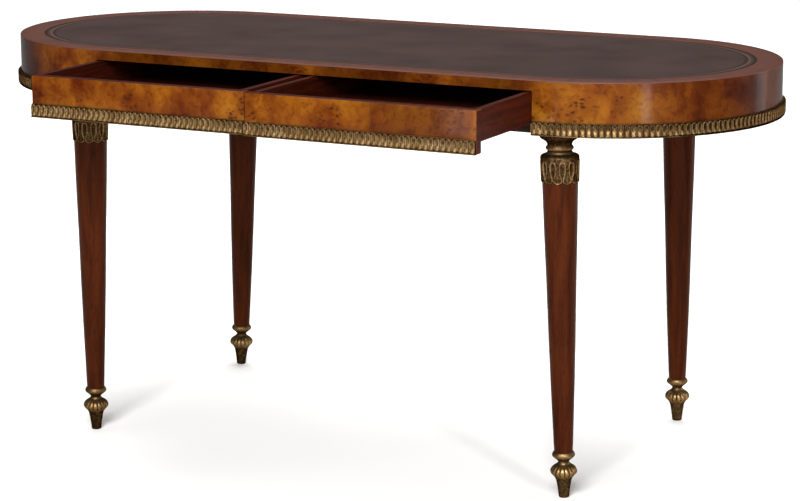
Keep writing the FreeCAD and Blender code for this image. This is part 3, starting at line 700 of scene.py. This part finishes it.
def ridge(inside: float, width: float) -> float:
    """Returns the height of a round ridge of that width, at a distance in from its edge."""
    return bulge((inside - width / 2) / (width / 2))


def between(value: float, low: float, high: float) -> float:
    """Returns how far a value has come from low to high, smoothly, held between nought and one."""
    share = min(1.0, max(0.0, (value - low) / (high - low)))
    return share * share * (3 - 2 * share)


def toning(level: float, zones: Sequence[tuple[float, float]]) -> float:
    """Returns how dark the brass is at a level, from the zones' lower limits and tones, top zone first."""
    return next(tone for limit, tone in zones if level >= limit)


@dataclass
class DeskPlan:
    """Sizes that several sub-assemblies share, in metres."""

    half_straight: float = 0.457
    end_radius: float = 0.325
    height: float = 0.762
    panel_bottom: float = 0.7435
    frieze_bottom: float = 0.6655
    half_opening: float = 0.452
    bend_steps: int = 96

    def racetrack(self, radius: float, level: float, seam: bool = False) -> list[Vector]:
        """Returns a level racetrack outline, counter-clockwise from the middle of the front.

        Args:
            radius: its distance from the line between the two bend centres.
            level: its height.
            seam: whether the first point is given again at the end.

        Returns:
            The points.
        """
        points = [Vector((0.0, -radius, level))]
        for centre, start in ((self.half_straight, -90.0), (-self.half_straight, 90.0)):
            for step in range(self.bend_steps + 1):
                turn = math.radians(start + 180.0 * step / self.bend_steps)
                points.append(Vector((centre + radius * math.cos(turn), radius * math.sin(turn), level)))
        if seam:
            points.append(points[0].copy())
        return points

    def lengths_along(self, radius: float) -> list[float]:
        """Measures along a seamed racetrack outline.

        Args:
            radius: the outline's distance from the line between the two bend centres.

        Returns:
            The distance run at each of its points.
        """
        outline = self.racetrack(radius, 0.0, seam=True)
        distances = [0.0]
        for here, there in zip(outline, outline[1:]):
            distances.append(distances[-1] + (there - here).length)
        return distances


PLAN = DeskPlan()


@dataclass
class StraightRun:
    """A straight face that a moulding runs along, from left to right as seen from outside."""

    start: Vector
    heading: Vector
    outward: Vector
    length: float

    def point(self, distance: float, rise: float, height: float) -> Vector:
        """Returns the point at a distance along, a rise in front and a height above the start."""
        return self.start + self.heading * distance + self.outward * rise + Vector((0, 0, height))


@dataclass
class BowRun:
    """The outer face of one end apron: stub, half circle, stub."""

    side: int
    level: float = PLAN.frieze_bottom
    radius: float = PLAN.end_radius
    stub: float = PLAN.half_straight - PLAN.half_opening

    @property
    def length(self) -> float:
        """The run's whole length on the apron's face."""
        return math.pi * self.radius + 2 * self.stub

    def point(self, distance: float, rise: float, height: float) -> Vector:
        """Finds a point on the run.

        Args:
            distance: how far along the apron's face it is.
            rise: how far in front of that face.
            height: how far above its foot.

        Returns:
            The point.
        """
        reach, bend = self.radius + rise, math.pi * self.radius
        if distance < self.stub:
            local = Vector((distance - self.stub, -reach))
        elif distance > self.stub + bend:
            local = Vector((self.stub + bend - distance, reach))
        else:
            turn = (distance - self.stub) / self.radius - math.pi / 2
            local = Vector((math.cos(turn), math.sin(turn))) * reach
        return Vector((self.side * (PLAN.half_straight + local.x), self.side * local.y, self.level + height))


@dataclass
class LinedTop:
    """The top: core panel, crossbanded border with an eased arris, and the tooled leather."""

    veneer_return: float = 0.002
    border_width: float = 0.048
    border_thickness: float = 0.0015
    arris: float = 0.0011
    inner_arris: float = 0.0002
    leather_gap: float = 0.0002
    leather_thickness: float = 0.0012
    leather_edge: float = 0.0007
    # How far in from its side and down from its face an arris has its middle point, as a share.
    arris_middle: float = 0.3
    # Rings of the leather's flat face, by their distance from its edge.
    face_insets: tuple[float, ...] = (0.004, 0.012, 0.03, 0.08, 0.16)

    def build_panel(self) -> None:
        """Builds the core panel, with burl on its edge and stained wood above and beneath."""
        mesh = PieceMesh("core_panel")
        edge, low = PLAN.end_radius, PLAN.panel_bottom
        high = PLAN.height - self.border_thickness
        section = ((edge - self.veneer_return, low), (edge, low), (edge, high))
        rings = [mesh.add_ring(PLAN.racetrack(radius, level)) for radius, level in section]
        mesh.skin(rings[:2], slots=(1,))
        mesh.skin(rings[1:])
        mesh.cap(rings[0], 1)
        mesh.cap(rings[-1], 1)
        seat(mesh.build([BURL, CARCASS_WOOD]), Body.CARCASS, BURL.slot, "top_panel")

    def add_measured(self, mesh: PieceMesh, edge: float,
                     section: Sequence[tuple[float, float]]) -> list[list[int]]:
        """Adds seamed rings that carry their distances along and in from an edge.

        Args:
            mesh: the piece's mesh.
            edge: the edge's distance from the line between the bend centres.
            section: each ring's distance from that line, and its level.

        Returns:
            The rings' point numbers.
        """
        along = PLAN.lengths_along(edge)
        return [mesh.add_ring(PLAN.racetrack(radius, level, seam=True), along=along,
                              inset=[edge - radius] * len(along)) for radius, level in section]

    def build_border(self) -> None:
        """Builds the crossbanded border with its eased arris."""
        mesh = PieceMesh("crossbanded_border")
        low, high = PLAN.height - self.border_thickness, PLAN.height
        outer, inner = PLAN.end_radius, PLAN.end_radius - self.border_width
        step = self.arris_middle * self.arris
        rings = self.add_measured(mesh, outer, [
            (outer, low), (outer, high - self.arris), (outer - step, high - step),
            (outer - self.arris, high), (outer - self.border_width / 2, high),
            (inner + self.inner_arris, high), (inner, high - self.inner_arris), (inner, low)])
        mesh.skin(rings[:2], closed=False, slots=(1,))
        mesh.skin(rings[1:], closed=False)
        mesh.skin([rings[-1], rings[0]], closed=False)
        seat(mesh.build([CROSSBAND, BURL]), Body.CARCASS, CROSSBAND.slot, "border_crossband")

    def build_leather(self) -> None:
        """Builds the leather, with the measures that its tooling follows."""
        mesh = PieceMesh("tooled_leather")
        low = PLAN.height - self.border_thickness
        high = low + self.leather_thickness
        edge = PLAN.end_radius - self.border_width - self.leather_gap
        step = self.arris_middle * self.leather_edge
        section = [(edge, low), (edge, high - self.leather_edge), (edge - step, high - step),
                   (edge - self.leather_edge, high)]
        section += [(edge - inset, high) for inset in (*self.face_insets, edge)]
        mesh.skin(self.add_measured(mesh, edge, section), closed=False)
        mesh.cap(mesh.add_ring(PLAN.racetrack(edge, low)))
        seat(mesh.build([LEATHER]), Body.CARCASS, LEATHER.slot, "writing_leather")

    def build(self) -> None:
        """Builds the whole top."""
        self.build_panel()
        self.build_border()
        self.build_leather()


@dataclass
class Frieze:
    """The bent end aprons, the back rail and the hidden carcass inside them."""

    thickness: float = 0.018
    eased: float = 0.0006
    steps: int = 96

    def build_apron(self, side: int, node: str) -> None:
        """Builds one bent apron, with burl outside and stained wood inside.

        Args:
            side: 1 for the right end, -1 for the left.
            node: the node it stands for.
        """
        mesh = PieceMesh(node.replace("end", "bent"))
        run = BowRun(side)
        height = PLAN.panel_bottom - PLAN.frieze_bottom
        section = [(0.0, self.eased), (0.0, height), (-self.thickness, height),
                   (-self.thickness, self.eased), (-self.thickness + self.eased, 0.0), (-self.eased, 0.0)]
        distances = [0.0] + [run.stub + math.pi * run.radius * n / self.steps for n in range(self.steps + 1)]
        distances.append(run.length)
        loops = [mesh.add_ring([run.point(distance, rise, level) for rise, level in section])
                 for distance in distances]
        mesh.close(loops, slots=(0, 1, 1, 1, 1, 1), end_slot=1)
        seat(mesh.build([BURL, CARCASS_WOOD]), Body.CARCASS, BURL.slot, node)

    def build(self) -> None:
        """Builds the aprons and finishes the carcass."""
        self.build_apron(1, "right_end_apron")
        self.build_apron(-1, "left_end_apron")
        polish_node("back_rail", BURL)
        for name in ("front_rail", "right_cross_rail", "left_cross_rail", "right_runner", "left_runner",
                     "centre_runner", "centre_guide", "glue_blocks"):
            polish_node(name, CARCASS_WOOD)
        polish_node("leg_blocks", CARCASS_WOOD, bevel_mm=0.0)


@dataclass
class TongueMoulding:
    """Brass moulding: a row of round-headed tongues between a bottom bead and a thin top fillet."""

    height: float = 0.025
    pitch: float = 0.01098
    strip: float = 0.0030
    crest: float = 0.0067
    half_width: float = 0.0051
    rim: float = 0.0019
    foot: float = 0.0026
    foot_round: float = 0.0024
    shoulder: float = 0.0188
    head: float = 0.0243
    hollow_start: float = 0.0065
    hollow_full: float = 0.0155
    bead: float = 0.0056
    # Rises of rim, pad and scoop at their edge, and what their middle adds, as shares of a tongue's height.
    rim_edge: float = 0.30
    rim_swell: float = 0.70
    pad_edge: float = 0.60
    pad_swell: float = 0.35
    scoop_edge: float = 0.40
    scoop_swell: float = -0.30
    # Tones of the brass, from nought for bright to one for black; the rim's foot is dark up to clean_level.
    gap_tone: float = 0.95
    rim_tone: float = 0.2
    foot_tone: float = 0.5
    slope_tone: float = 0.6
    pad_tone: float = 0.32
    scoop_tone: float = 0.5
    dark_level: float = 0.0036
    clean_level: float = 0.0058
    # Columns across one pitch, as shares of it, and levels up a tongue, in millimetres.
    columns: tuple[float, ...] = (0.0, 0.045, 0.08, 0.125, 0.165, 0.205, 0.26, 0.37, 0.5,
                                  0.63, 0.74, 0.795, 0.835, 0.875, 0.92, 0.955)
    levels_mm: tuple[float, ...] = (2.6, 3.1, 3.8, 4.8, 6.4, 8.5, 10.5, 12.5, 15.0, 17.5, 19.2, 20.6, 21.7,
                                    22.6, 23.3, 23.9, 24.3)

    def relief(self, share: float, level: float) -> tuple[float, float]:
        """Returns the rise and the depth of hollow at a place on the moulding.

        Args:
            share: how far across one tongue's pitch, from nought to one.
            level: height above the moulding's foot.

        Returns:
            The rise in front of the face behind it, and how much of a hollow that place is.
        """
        across = abs(share - 0.5) * self.pitch / self.half_width
        climb = 0.0
        if level > self.shoulder:
            climb = (level - self.shoulder) / (self.head - self.shoulder)
        elif level < self.foot + self.foot_round:
            climb = (self.foot + self.foot_round - level) / self.foot_round
        inside = (1.0 - math.hypot(across, climb)) * self.half_width
        if inside <= 0.0:
            return self.strip, self.gap_tone
        height = self.crest - self.strip
        if inside < self.rim:
            edge = ridge(inside, self.rim)
            tone = self.rim_tone + self.foot_tone * (1.0 - between(level, self.dark_level, self.clean_level))
            return (self.strip + height * (self.rim_edge + self.rim_swell * edge),
                    max(tone, self.slope_tone * (1.0 - edge)))
        scooped = between(level, self.hollow_start, self.hollow_full)
        swell = bulge(1.0 - min(1.0, (inside - self.rim) / (self.half_width - self.rim)))
        pad = self.pad_edge + self.pad_swell * swell
        scoop = self.scoop_edge + self.scoop_swell * swell
        rise = self.strip + height * (pad + (scoop - pad) * scooped)
        return rise, self.pad_tone + self.scoop_tone * scooped

    def sections(self) -> list[list[Point]]:
        """Works out the outline of the moulding across its width.

        Returns:
            The rise, level and hollow at each point round it, for each column of one pitch.
        """
        # Rise, level and hollow of the rounded bead below the tongues, and of the fillet above them.
        below = [(0.0, 0.0, 0.8), (self.bead - 0.0006, 0.0, 0.8), (self.bead, 0.0006, 0.7),
                 (self.bead, 0.0016, 0.6), (self.bead - 0.0010, 0.0024, 0.6), (self.strip, 0.0028, 1.0)]
        above = [(self.strip, self.head + 0.0001, 0.7), (self.strip + 0.0004, self.head + 0.0003, 0.1),
                 (self.strip, self.height, 0.0), (0.0, self.height, 0.5)]
        made = []
        for share in self.columns:
            middle = []
            for level in (level_mm * MM for level_mm in self.levels_mm):
                rise, hollow = self.relief(share, level)
                middle.append((rise, level, hollow))
            made.append(below + middle + above)
        return made

    def build(self, name: str, run: StraightRun | BowRun, body: Body, node: str) -> None:
        """Builds the moulding along one run.

        Args:
            name: the piece's name.
            run: the face that it follows.
            body: the body that carries it.
            node: the node it stands for.
        """
        mesh = PieceMesh(name)
        count = round(run.length / self.pitch)
        step = run.length / count
        sections = self.sections()
        rows = []
        for tongue in range(count):
            for share, section in zip(self.columns, sections):
                distance = (tongue + share) * step
                rows.append(mesh.add_ring([run.point(distance, rise, level) for rise, level, _ in section],
                                          hollow=[hollow for _, _, hollow in section]))
        last = sections[-1]
        rows.append(mesh.add_ring([run.point(run.length, rise, level) for rise, level, _ in last],
                                  hollow=[1.0] * len(last)))
        mesh.close(rows)
        seat(mesh.build([BRASS], sharp_degrees=60.0), body, BRASS.slot, node)


@dataclass
class LegPlace:
    """Where one leg hangs from the frieze, and how it leans outward to its foot."""

    corner: Corner
    out: float = 0.4915
    across: float = 0.293
    splay: float = 0.012
    lean: float = 0.0095
    fall: float = PLAN.frieze_bottom

    def matrix(self) -> Matrix:
        """Works out where the leg stands.

        Returns:
            The matrix that carries a piece turned about Z to this leg's axis.
        """
        side_x, side_y = self.corner.value
        bearing = math.atan2(-side_y * self.lean, side_x * self.splay)
        tilt = math.atan(math.hypot(self.splay, self.lean) / self.fall)
        spot = Matrix.Translation((side_x * self.out, side_y * self.across, self.fall))
        return spot @ Matrix.Rotation(bearing, 4, "Z") @ Matrix.Rotation(-tilt, 4, "Y")

    @property
    def length(self) -> float:
        """The leg's length along its axis, from the frieze to the floor, the same for all four."""
        return math.sqrt(self.fall ** 2 + self.splay ** 2 + self.lean ** 2)


def turned_ring(matrix: Matrix, row: Sequence[Sequence[float]], turned: float = 0.0) -> list[Vector]:
    """Returns the points of one ring round a leg's axis.

    Args:
        matrix: carries a point to its leg.
        row: radius and level at each step round the axis, in millimetres; what follows them is passed over.
        turned: the angle that the first step stands at.

    Returns:
        The points, in metres.
    """
    points = []
    for step, (radius, level, *_) in enumerate(row):
        turn = turned + 2 * math.pi * step / len(row)
        reach = radius * MM
        points.append(matrix @ Vector((reach * math.cos(turn), reach * math.sin(turn), level * MM)))
    return points


def build_leg_brass(name: str, rows: Sequence[Sequence[Point]], turned: float, node: str) -> None:
    """Builds a brass fitting at all four legs as one piece.

    Args:
        name: the piece's name.
        rows: radius, level and hollow at each step round the axis, in millimetres, row below row.
        turned: the angle that the first step stands at.
        node: the node it stands for.
    """
    mesh = PieceMesh(name)
    for corner in Corner:
        matrix = LegPlace(corner).matrix()
        mesh.close([mesh.add_ring(turned_ring(matrix, row, turned), hollow=[hollow for _, _, hollow in row])
                    for row in rows])
    seat(mesh.build([BRASS], sharp_degrees=65.0), Body.CARCASS, BRASS.slot, node)


@dataclass
class TurnedLeg:
    """The visible mahogany leg, with its slight swell, between capital and foot."""

    steps: int = 72
    # Level from the frieze's foot and radius, in millimetres, as measured on the photograph.
    profile: tuple[tuple[float, float], ...] = (
        (-60, 31.6), (-87, 31.8), (-94, 31.7), (-121, 31.0), (-160, 30.1), (-207, 28.7), (-266, 26.8),
        (-320, 25.4), (-367, 24.3), (-414, 22.8), (-448, 21.9), (-510, 19.6), (-561, 17.7), (-579.6, 16.8))

    def build(self) -> None:
        """Builds the four legs."""
        for corner in Corner:
            name = corner.name.lower() + "_leg"
            mesh = PieceMesh(name.replace("leg", "turned_leg"))
            matrix = LegPlace(corner).matrix()
            mesh.close([mesh.add_ring(turned_ring(matrix, [(radius, level)] * self.steps))
                        for level, radius in self.profile])
            seat(mesh.build([MAHOGANY]), Body.CARCASS, MAHOGANY.slot, name)


@dataclass
class LeafCapital:
    """Brass capital: flared disc, hollow neck with a ring, shoulder, and a collar of leaves.

    Sizes are in millimetres, and levels run down from the frieze's foot.
    """

    leaves: int = 12
    steps_per_leaf: int = 20
    collar_radius: float = 34.2
    collar_taper: float = 0.030
    collar_rings: int = 34
    inner_radius: float = 32.0
    notch: float = -79.0
    lobe: float = 6.0
    lobe_width: float = 2.2
    lobe_power: float = 1.3
    arch_half: float = 4.4
    arch_top: float = -46.5
    arch_shoulder: float = -53.0
    arch_close: float = -62.0
    arch_narrowing: float = 0.86
    arch_slope: float = 1.3
    arch_depth: float = 1.5
    rim: float = 1.7
    rim_edge: float = 0.2
    rim_swell: float = 0.9
    tip_rim_height: float = 2.0
    vein_half: float = 0.9
    vein_levels: tuple[float, float] = (60, 72)
    leaf_rise: float = 0.1
    vein_rise: float = 0.4
    turned: float = math.radians(-7.4)
    # Tones of the brass, from nought for bright to one for black: arch edge and depth, rims, tips, leaves.
    # All are set darker than tarnish alone would make them, as painted shade under the frieze and drawers.
    arch_tone: float = 0.5
    arch_depth_tone: float = 0.45
    rim_tone: float = 0.50
    tip_tone: float = 0.1
    leaf_tone: float = 0.9
    vein_tone: float = -0.25
    # Lower limit and tone of disc and neck, ring, groove, lower ring and shoulder; disc, neck and shoulder
    # carry painted shade from the frieze as well as tarnish.
    zones: tuple[tuple[float, float], ...] = ((-19.0, 1.0), (-27.0, 0.62), (-30.5, 1.0), (-34.0, 0.62),
                                              (-45.0, 0.88))
    # Level and radius, down to the top of the collar's leaf work.
    profile: tuple[tuple[float, float], ...] = (
        (0, 36.0), (-1.5, 35.9), (-3.6, 35.3), (-5.6, 34.2), (-7.4, 31.6), (-9.2, 28.6), (-11.2, 25.8),
        (-13.6, 23.6), (-16.0, 22.4), (-18.6, 22.0), (-20.0, 22.6), (-21.4, 24.2), (-23.4, 25.0),
        (-25.4, 24.6), (-27.0, 23.2), (-28.2, 22.0), (-29.6, 21.6), (-30.8, 22.2), (-31.6, 23.2),
        (-32.6, 23.6), (-33.4, 24.6), (-34.2, 27.0), (-35.0, 29.6), (-36.0, 32.0), (-37.4, 33.8),
        (-39.2, 34.6), (-41.5, 34.8), (-44.6, 34.6))

    def leaf(self, share: float, level: float, tip: float) -> tuple[float, float]:
        """Returns how far the leaf work stands out of the collar, and how hollow that place is.

        Rims run down both sides of every leaf, meet in a round tip below, and join over each gap in
        an arch; the arch's inside is a dark hollow.

        Args:
            share: place across one leaf, from nought to one; the gaps are at both ends.
            level: level from the frieze's foot.
            tip: the leaf work's lower edge at that place.

        Returns:
            The rise in millimetres and the hollow.
        """
        pitch = 2 * math.pi * self.collar_radius / self.leaves
        off_gap = min(share, 1.0 - share) * pitch
        if level > self.arch_shoulder:
            climb = (level - self.arch_shoulder) / (self.arch_top - self.arch_shoulder)
            inside = (1.0 - math.hypot(off_gap / self.arch_half, climb)) * self.arch_half
        else:
            closing = between(-level, -self.arch_close, -self.notch)
            inside = self.arch_half * (1.0 - self.arch_narrowing * closing) - off_gap
        above_tip = level - tip
        if inside > 0.0:
            depth = min(1.0, inside / self.arch_slope)
            return -self.arch_depth * depth, self.arch_tone + self.arch_depth_tone * depth
        if -inside < self.rim:
            return self.rim_edge + self.rim_swell * ridge(-inside, self.rim), self.rim_tone
        if above_tip < self.rim and level < self.notch + self.tip_rim_height:
            return self.rim_edge + self.rim_swell * ridge(above_tip, self.rim), self.tip_tone
        vein = max(0.0, 1.0 - abs(share - 0.5) * pitch / self.vein_half) * between(-level, *self.vein_levels)
        return self.leaf_rise + self.vein_rise * vein, self.leaf_tone + self.vein_tone * vein

    def build(self) -> None:
        """Builds the four capitals as one piece."""
        total = self.leaves * self.steps_per_leaf
        top = self.profile[-1][0]
        rows = [[(radius, level, toning(level, self.zones))] * total for level, radius in self.profile]
        for number in range(1, self.collar_rings + 1):
            row = []
            for step in range(total):
                share = (step / self.steps_per_leaf) % 1.0
                hang = bulge(abs(share - 0.5) * self.lobe_width) ** self.lobe_power
                bottom = self.notch - self.lobe * hang
                level = top + (bottom - top) * number / self.collar_rings
                rise, hollow = self.leaf(share, level, bottom)
                row.append((self.collar_radius + self.collar_taper * (level - top) + rise, level, hollow))
            rows.append(row)
        rows.append([(self.inner_radius, level, 1.0) for _, level, _ in rows[-1]])
        build_leg_brass("brass_capitals", rows, self.turned, "leg_capitals")


@dataclass
class ToupieFoot:
    """Brass foot: round ring, neck with a fine bead, ribbed bulb and tapered peg.

    Sizes are in millimetres, and heights are above the floor.
    """

    ribs: int = 16
    steps_per_rib: int = 12
    groove: float = 2.0
    groove_power: float = 0.9
    groove_starts: tuple[float, float] = (37.0, 44.0)
    groove_ends: tuple[float, float] = (57.0, 62.5)
    groove_tone: float = 1.5
    peg_tone: float = 0.85
    peg_end: tuple[float, float] = (36.0, 44.0)
    turned: float = math.radians(11.9)
    # Lower limit and tone of ring, neck, and all below; the ring's dark tone is partly tarnish and partly
    # painted shade.
    zones: tuple[tuple[float, float], ...] = ((74.0, 0.5), (65.5, 0.8), (0.0, 0.12))
    # Height and radius.
    profile: tuple[tuple[float, float], ...] = (
        (86.0, 17.3), (85.4, 18.3), (84.0, 19.2), (82.0, 20.2), (80.0, 20.8), (78.4, 20.5), (76.6, 19.4),
        (75.0, 17.6), (73.4, 15.6), (71.8, 13.6), (70.2, 11.9), (68.6, 10.5), (67.2, 9.7), (66.2, 9.6),
        (65.4, 10.4), (64.4, 11.3), (63.4, 11.9), (62.6, 12.6), (61.4, 14.6), (60.0, 16.8), (58.6, 19.0),
        (57.0, 20.9), (55.2, 22.4), (53.2, 23.5), (51.2, 24.2), (49.2, 24.4), (47.4, 24.2), (45.4, 23.0),
        (43.4, 21.2), (41.6, 19.4), (39.8, 17.7), (38.0, 16.4), (36.0, 15.3), (34.0, 14.5), (31.0, 13.7),
        (27.0, 12.9), (22.0, 12.1), (16.0, 11.2), (10.0, 10.4), (5.0, 9.9), (2.4, 9.6), (1.2, 9.3),
        (0.3, 8.8))

    def build(self) -> None:
        """Builds the four feet as one piece."""
        length = LegPlace(Corner.FRONT_LEFT).length / MM
        rows = []
        for height, radius in self.profile:
            depth = between(height, *self.groove_starts) * (1.0 - between(height, *self.groove_ends))
            plain = max(toning(height, self.zones), self.peg_tone * (1.0 - between(height, *self.peg_end)))
            row = []
            for step in range(self.ribs * self.steps_per_rib):
                across = abs((step / self.steps_per_rib) % 1.0 - 0.5) * 2
                dip = 1.0 - bulge(across) ** self.groove_power
                hollow = max(plain, depth * min(1.0, dip * self.groove_tone))
                row.append((radius - self.groove * depth * dip, height - length, hollow))
            rows.append(row)
        build_leg_brass("brass_feet", rows, self.turned, "leg_feet")


@dataclass
class Drawer:
    """One frieze drawer: burl-faced front with its moulding, and a waxed mahogany box."""

    side: int
    opening: float
    width: float = 0.450
    gap: float = 0.001
    eased_joint: float = 0.0020
    front_thickness: float = 0.020
    front_height: float = 0.076
    front_arris: float = 0.0009
    sharp_degrees: float = 50.0

    @property
    def hand(self) -> str:
        """The drawer's name for its side."""
        return "right" if self.side > 0 else "left"

    @property
    def body(self) -> Body:
        """The body that the drawer's pieces ride on."""
        return Body.RIGHT_DRAWER if self.side > 0 else Body.LEFT_DRAWER

    def build_front(self, low: Vector, high: Vector) -> None:
        """Builds the front, with eased edges, burl on its face and mahogany on its other sides.

        Args:
            low: its lowest corner.
            high: its highest corner.
        """
        mesh = bpy.data.meshes.new(f"{self.hand}_burl_front")
        shell = bmesh.new()
        bmesh.ops.create_cube(shell, size=1.0)
        for point in shell.verts:
            point.co = Vector([low[n] if point.co[n] < 0 else high[n] for n in range(3)])
        for face in shell.faces:
            face.normal_update()
            face.material_index = 0 if face.normal.y < -0.5 else 1
        bmesh.ops.bevel(shell, geom=shell.edges[:], offset=self.front_arris, segments=3, profile=0.5,
                        affect="EDGES", clamp_overlap=True)
        front = make_piece(mesh, shell, [BURL, DRAWER_WOOD], self.sharp_degrees)
        seat(front, self.body, BURL.slot, f"{self.hand}_drawer_front")

    def build(self) -> None:
        """Builds the front and its moulding, and finishes the box."""
        face = -(PLAN.end_radius + self.opening)
        left = self.gap + self.eased_joint if self.side > 0 else -self.gap - self.width
        width = self.width - self.eased_joint
        low = Vector((left, face, PLAN.frieze_bottom))
        high = Vector((left + width, face + self.front_thickness, PLAN.frieze_bottom + self.front_height))
        self.build_front(low, high)
        run = StraightRun(low, Vector((1, 0, 0)), Vector((0, -1, 0)), width)
        TongueMoulding().build(f"{self.hand}_front_moulding", run, self.body, f"{self.hand}_drawer_moulding")
        for piece, bevel_mm in (("outer_side", 1.2), ("inner_side", 1.2), ("bottom", 0.5), ("back", 0.5)):
            polish_node(f"{self.hand}_drawer_{piece}", DRAWER_WOOD, bevel_mm)


@dataclass(frozen=True)
class Softbox:
    """One rectangular soft light, in metres, watts and degrees."""

    name: str
    place: Point
    aim: Point
    size: tuple[float, float]
    power: float
    spread: float = 180.0

    def hang(self) -> bpy.types.Object:
        """Hangs the light at its place, facing its aim.

        Returns:
            The lamp.
        """
        light = bpy.data.lights.new(self.name, "AREA")
        light.shape = "RECTANGLE"
        light.size, light.size_y = self.size
        light.energy = self.power
        light.spread = math.radians(self.spread)
        lamp = bpy.data.objects.new(self.name, light)
        lamp.location = self.place
        lamp.rotation_euler = (Vector(self.aim) - Vector(self.place)).to_track_quat("-Z", "Y").to_euler()
        bpy.context.scene.collection.objects.link(lamp)
        return lamp


@dataclass
class Studio:
    """Pale floor, soft lights and the camera at the photograph's place."""

    floor_half: float = 14.0
    room_glow: float = 0.1
    camera_place: Point = (2.29188, -4.45313, 1.43314)
    yaw: float = 0.47038
    pitch: float = 0.21247
    roll: float = 0.00289
    focal_px: float = 2611.97
    frame_px: float = 800.0
    key: Softbox = Softbox("key_softbox", (1.7, -5.6, 4.2), (0.0, 0.0, 0.6), (3.0, 2.4), 620.0)
    overhead: Softbox = Softbox("floor_softbox", (-2.0, 3.8, 6.0), (-2.0, 3.8, 0.0), (4.6, 10.0),
                                400.0, 120.0)
    strips: tuple[Softbox, ...] = (
        Softbox("front_strip", (-0.15, -3.2, 0.95), (0.0, 0.0, 0.95), (0.28, 1.7), 24.0),
        Softbox("right_strip", (2.6, -2.0, 0.95), (0.0, 0.0, 0.95), (0.28, 1.7), 40.0),
        Softbox("back_strip", (2.55, 2.3, 0.95), (0.0, 0.0, 0.95), (0.7, 1.7), 25.0))

    def build_floor(self) -> None:
        """Lays the pale floor."""
        mesh = PieceMesh("studio_floor")
        reach = self.floor_half
        mesh.cap(mesh.add_ring([Vector((x, y, 0.0)) for x, y in (
            (-reach, -reach), (reach, -reach), (reach, reach), (-reach, reach))]))
        mesh.build([StudioPaper()])

    def build_lights(self) -> None:
        """Hangs the softboxes, the overhead one level, and sets the room's dim glow."""
        self.key.hang()
        self.overhead.hang().rotation_euler = (0.0, 0.0, self.yaw)
        for strip in self.strips:
            strip.hang()
        world = bpy.data.worlds.new("studio_room")
        bpy.context.scene.world = world
        world.use_nodes = True
        glow = world.node_tree.nodes["Background"]
        glow.inputs["Color"].default_value = linear("#ffffff")
        glow.inputs["Strength"].default_value = self.room_glow

    def build_camera(self) -> None:
        """Places the camera where the photograph was taken from."""
        camera = bpy.data.cameras.new("photograph_camera")
        camera.sensor_width = 36.0
        camera.lens = self.focal_px * camera.sensor_width / self.frame_px
        camera.clip_end = 100.0
        level = math.cos(self.pitch)
        ahead = Vector((-math.sin(self.yaw) * level, math.cos(self.yaw) * level, -math.sin(self.pitch)))
        right = Vector((math.cos(self.yaw), math.sin(self.yaw), 0.0))
        down = ahead.cross(right)
        rolled_right = right * math.cos(self.roll) + down * math.sin(self.roll)
        rolled_down = down * math.cos(self.roll) - right * math.sin(self.roll)
        turn = Matrix((rolled_right, -rolled_down, -ahead)).transposed().to_4x4()
        eye = bpy.data.objects.new("photograph_camera", camera)
        eye.matrix_world = Matrix.Translation(self.camera_place) @ turn
        bpy.context.scene.collection.objects.link(eye)
        bpy.context.scene.camera = eye

    def build(self) -> None:
        """Builds floor, lights and camera."""
        self.build_floor()
        self.build_lights()
        self.build_camera()
        bpy.context.scene.view_settings.view_transform = "Standard"


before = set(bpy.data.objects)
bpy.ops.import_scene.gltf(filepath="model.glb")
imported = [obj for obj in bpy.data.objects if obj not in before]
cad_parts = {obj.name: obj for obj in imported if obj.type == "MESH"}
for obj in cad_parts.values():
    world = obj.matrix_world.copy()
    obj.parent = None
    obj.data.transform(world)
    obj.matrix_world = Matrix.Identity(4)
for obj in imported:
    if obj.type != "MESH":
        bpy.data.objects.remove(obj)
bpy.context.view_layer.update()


def main() -> None:
    """Builds the desk and the studio round it."""
    logging.basicConfig(level=logging.INFO, format="%(name)s: %(message)s")
    LinedTop().build()
    Frieze().build()
    moulding = TongueMoulding()
    moulding.build("right_bent_moulding", BowRun(1), Body.CARCASS, "right_end_moulding")
    moulding.build("left_bent_moulding", BowRun(-1), Body.CARCASS, "left_end_moulding")
    back = StraightRun(Vector((PLAN.half_opening, PLAN.end_radius, PLAN.frieze_bottom)), Vector((-1, 0, 0)),
                       Vector((0, 1, 0)), 2 * PLAN.half_opening)
    moulding.build("back_rail_moulding", back, Body.CARCASS, "back_moulding")
    TurnedLeg().build()
    LeafCapital().build()
    ToupieFoot().build()
    polish_node("leg_screws", STEEL, bevel_mm=0.0)
    Drawer(side=-1, opening=0.2165).build()
    Drawer(side=1, opening=0.225).build()
    Studio().build()


if __name__ == "__main__":
    main()
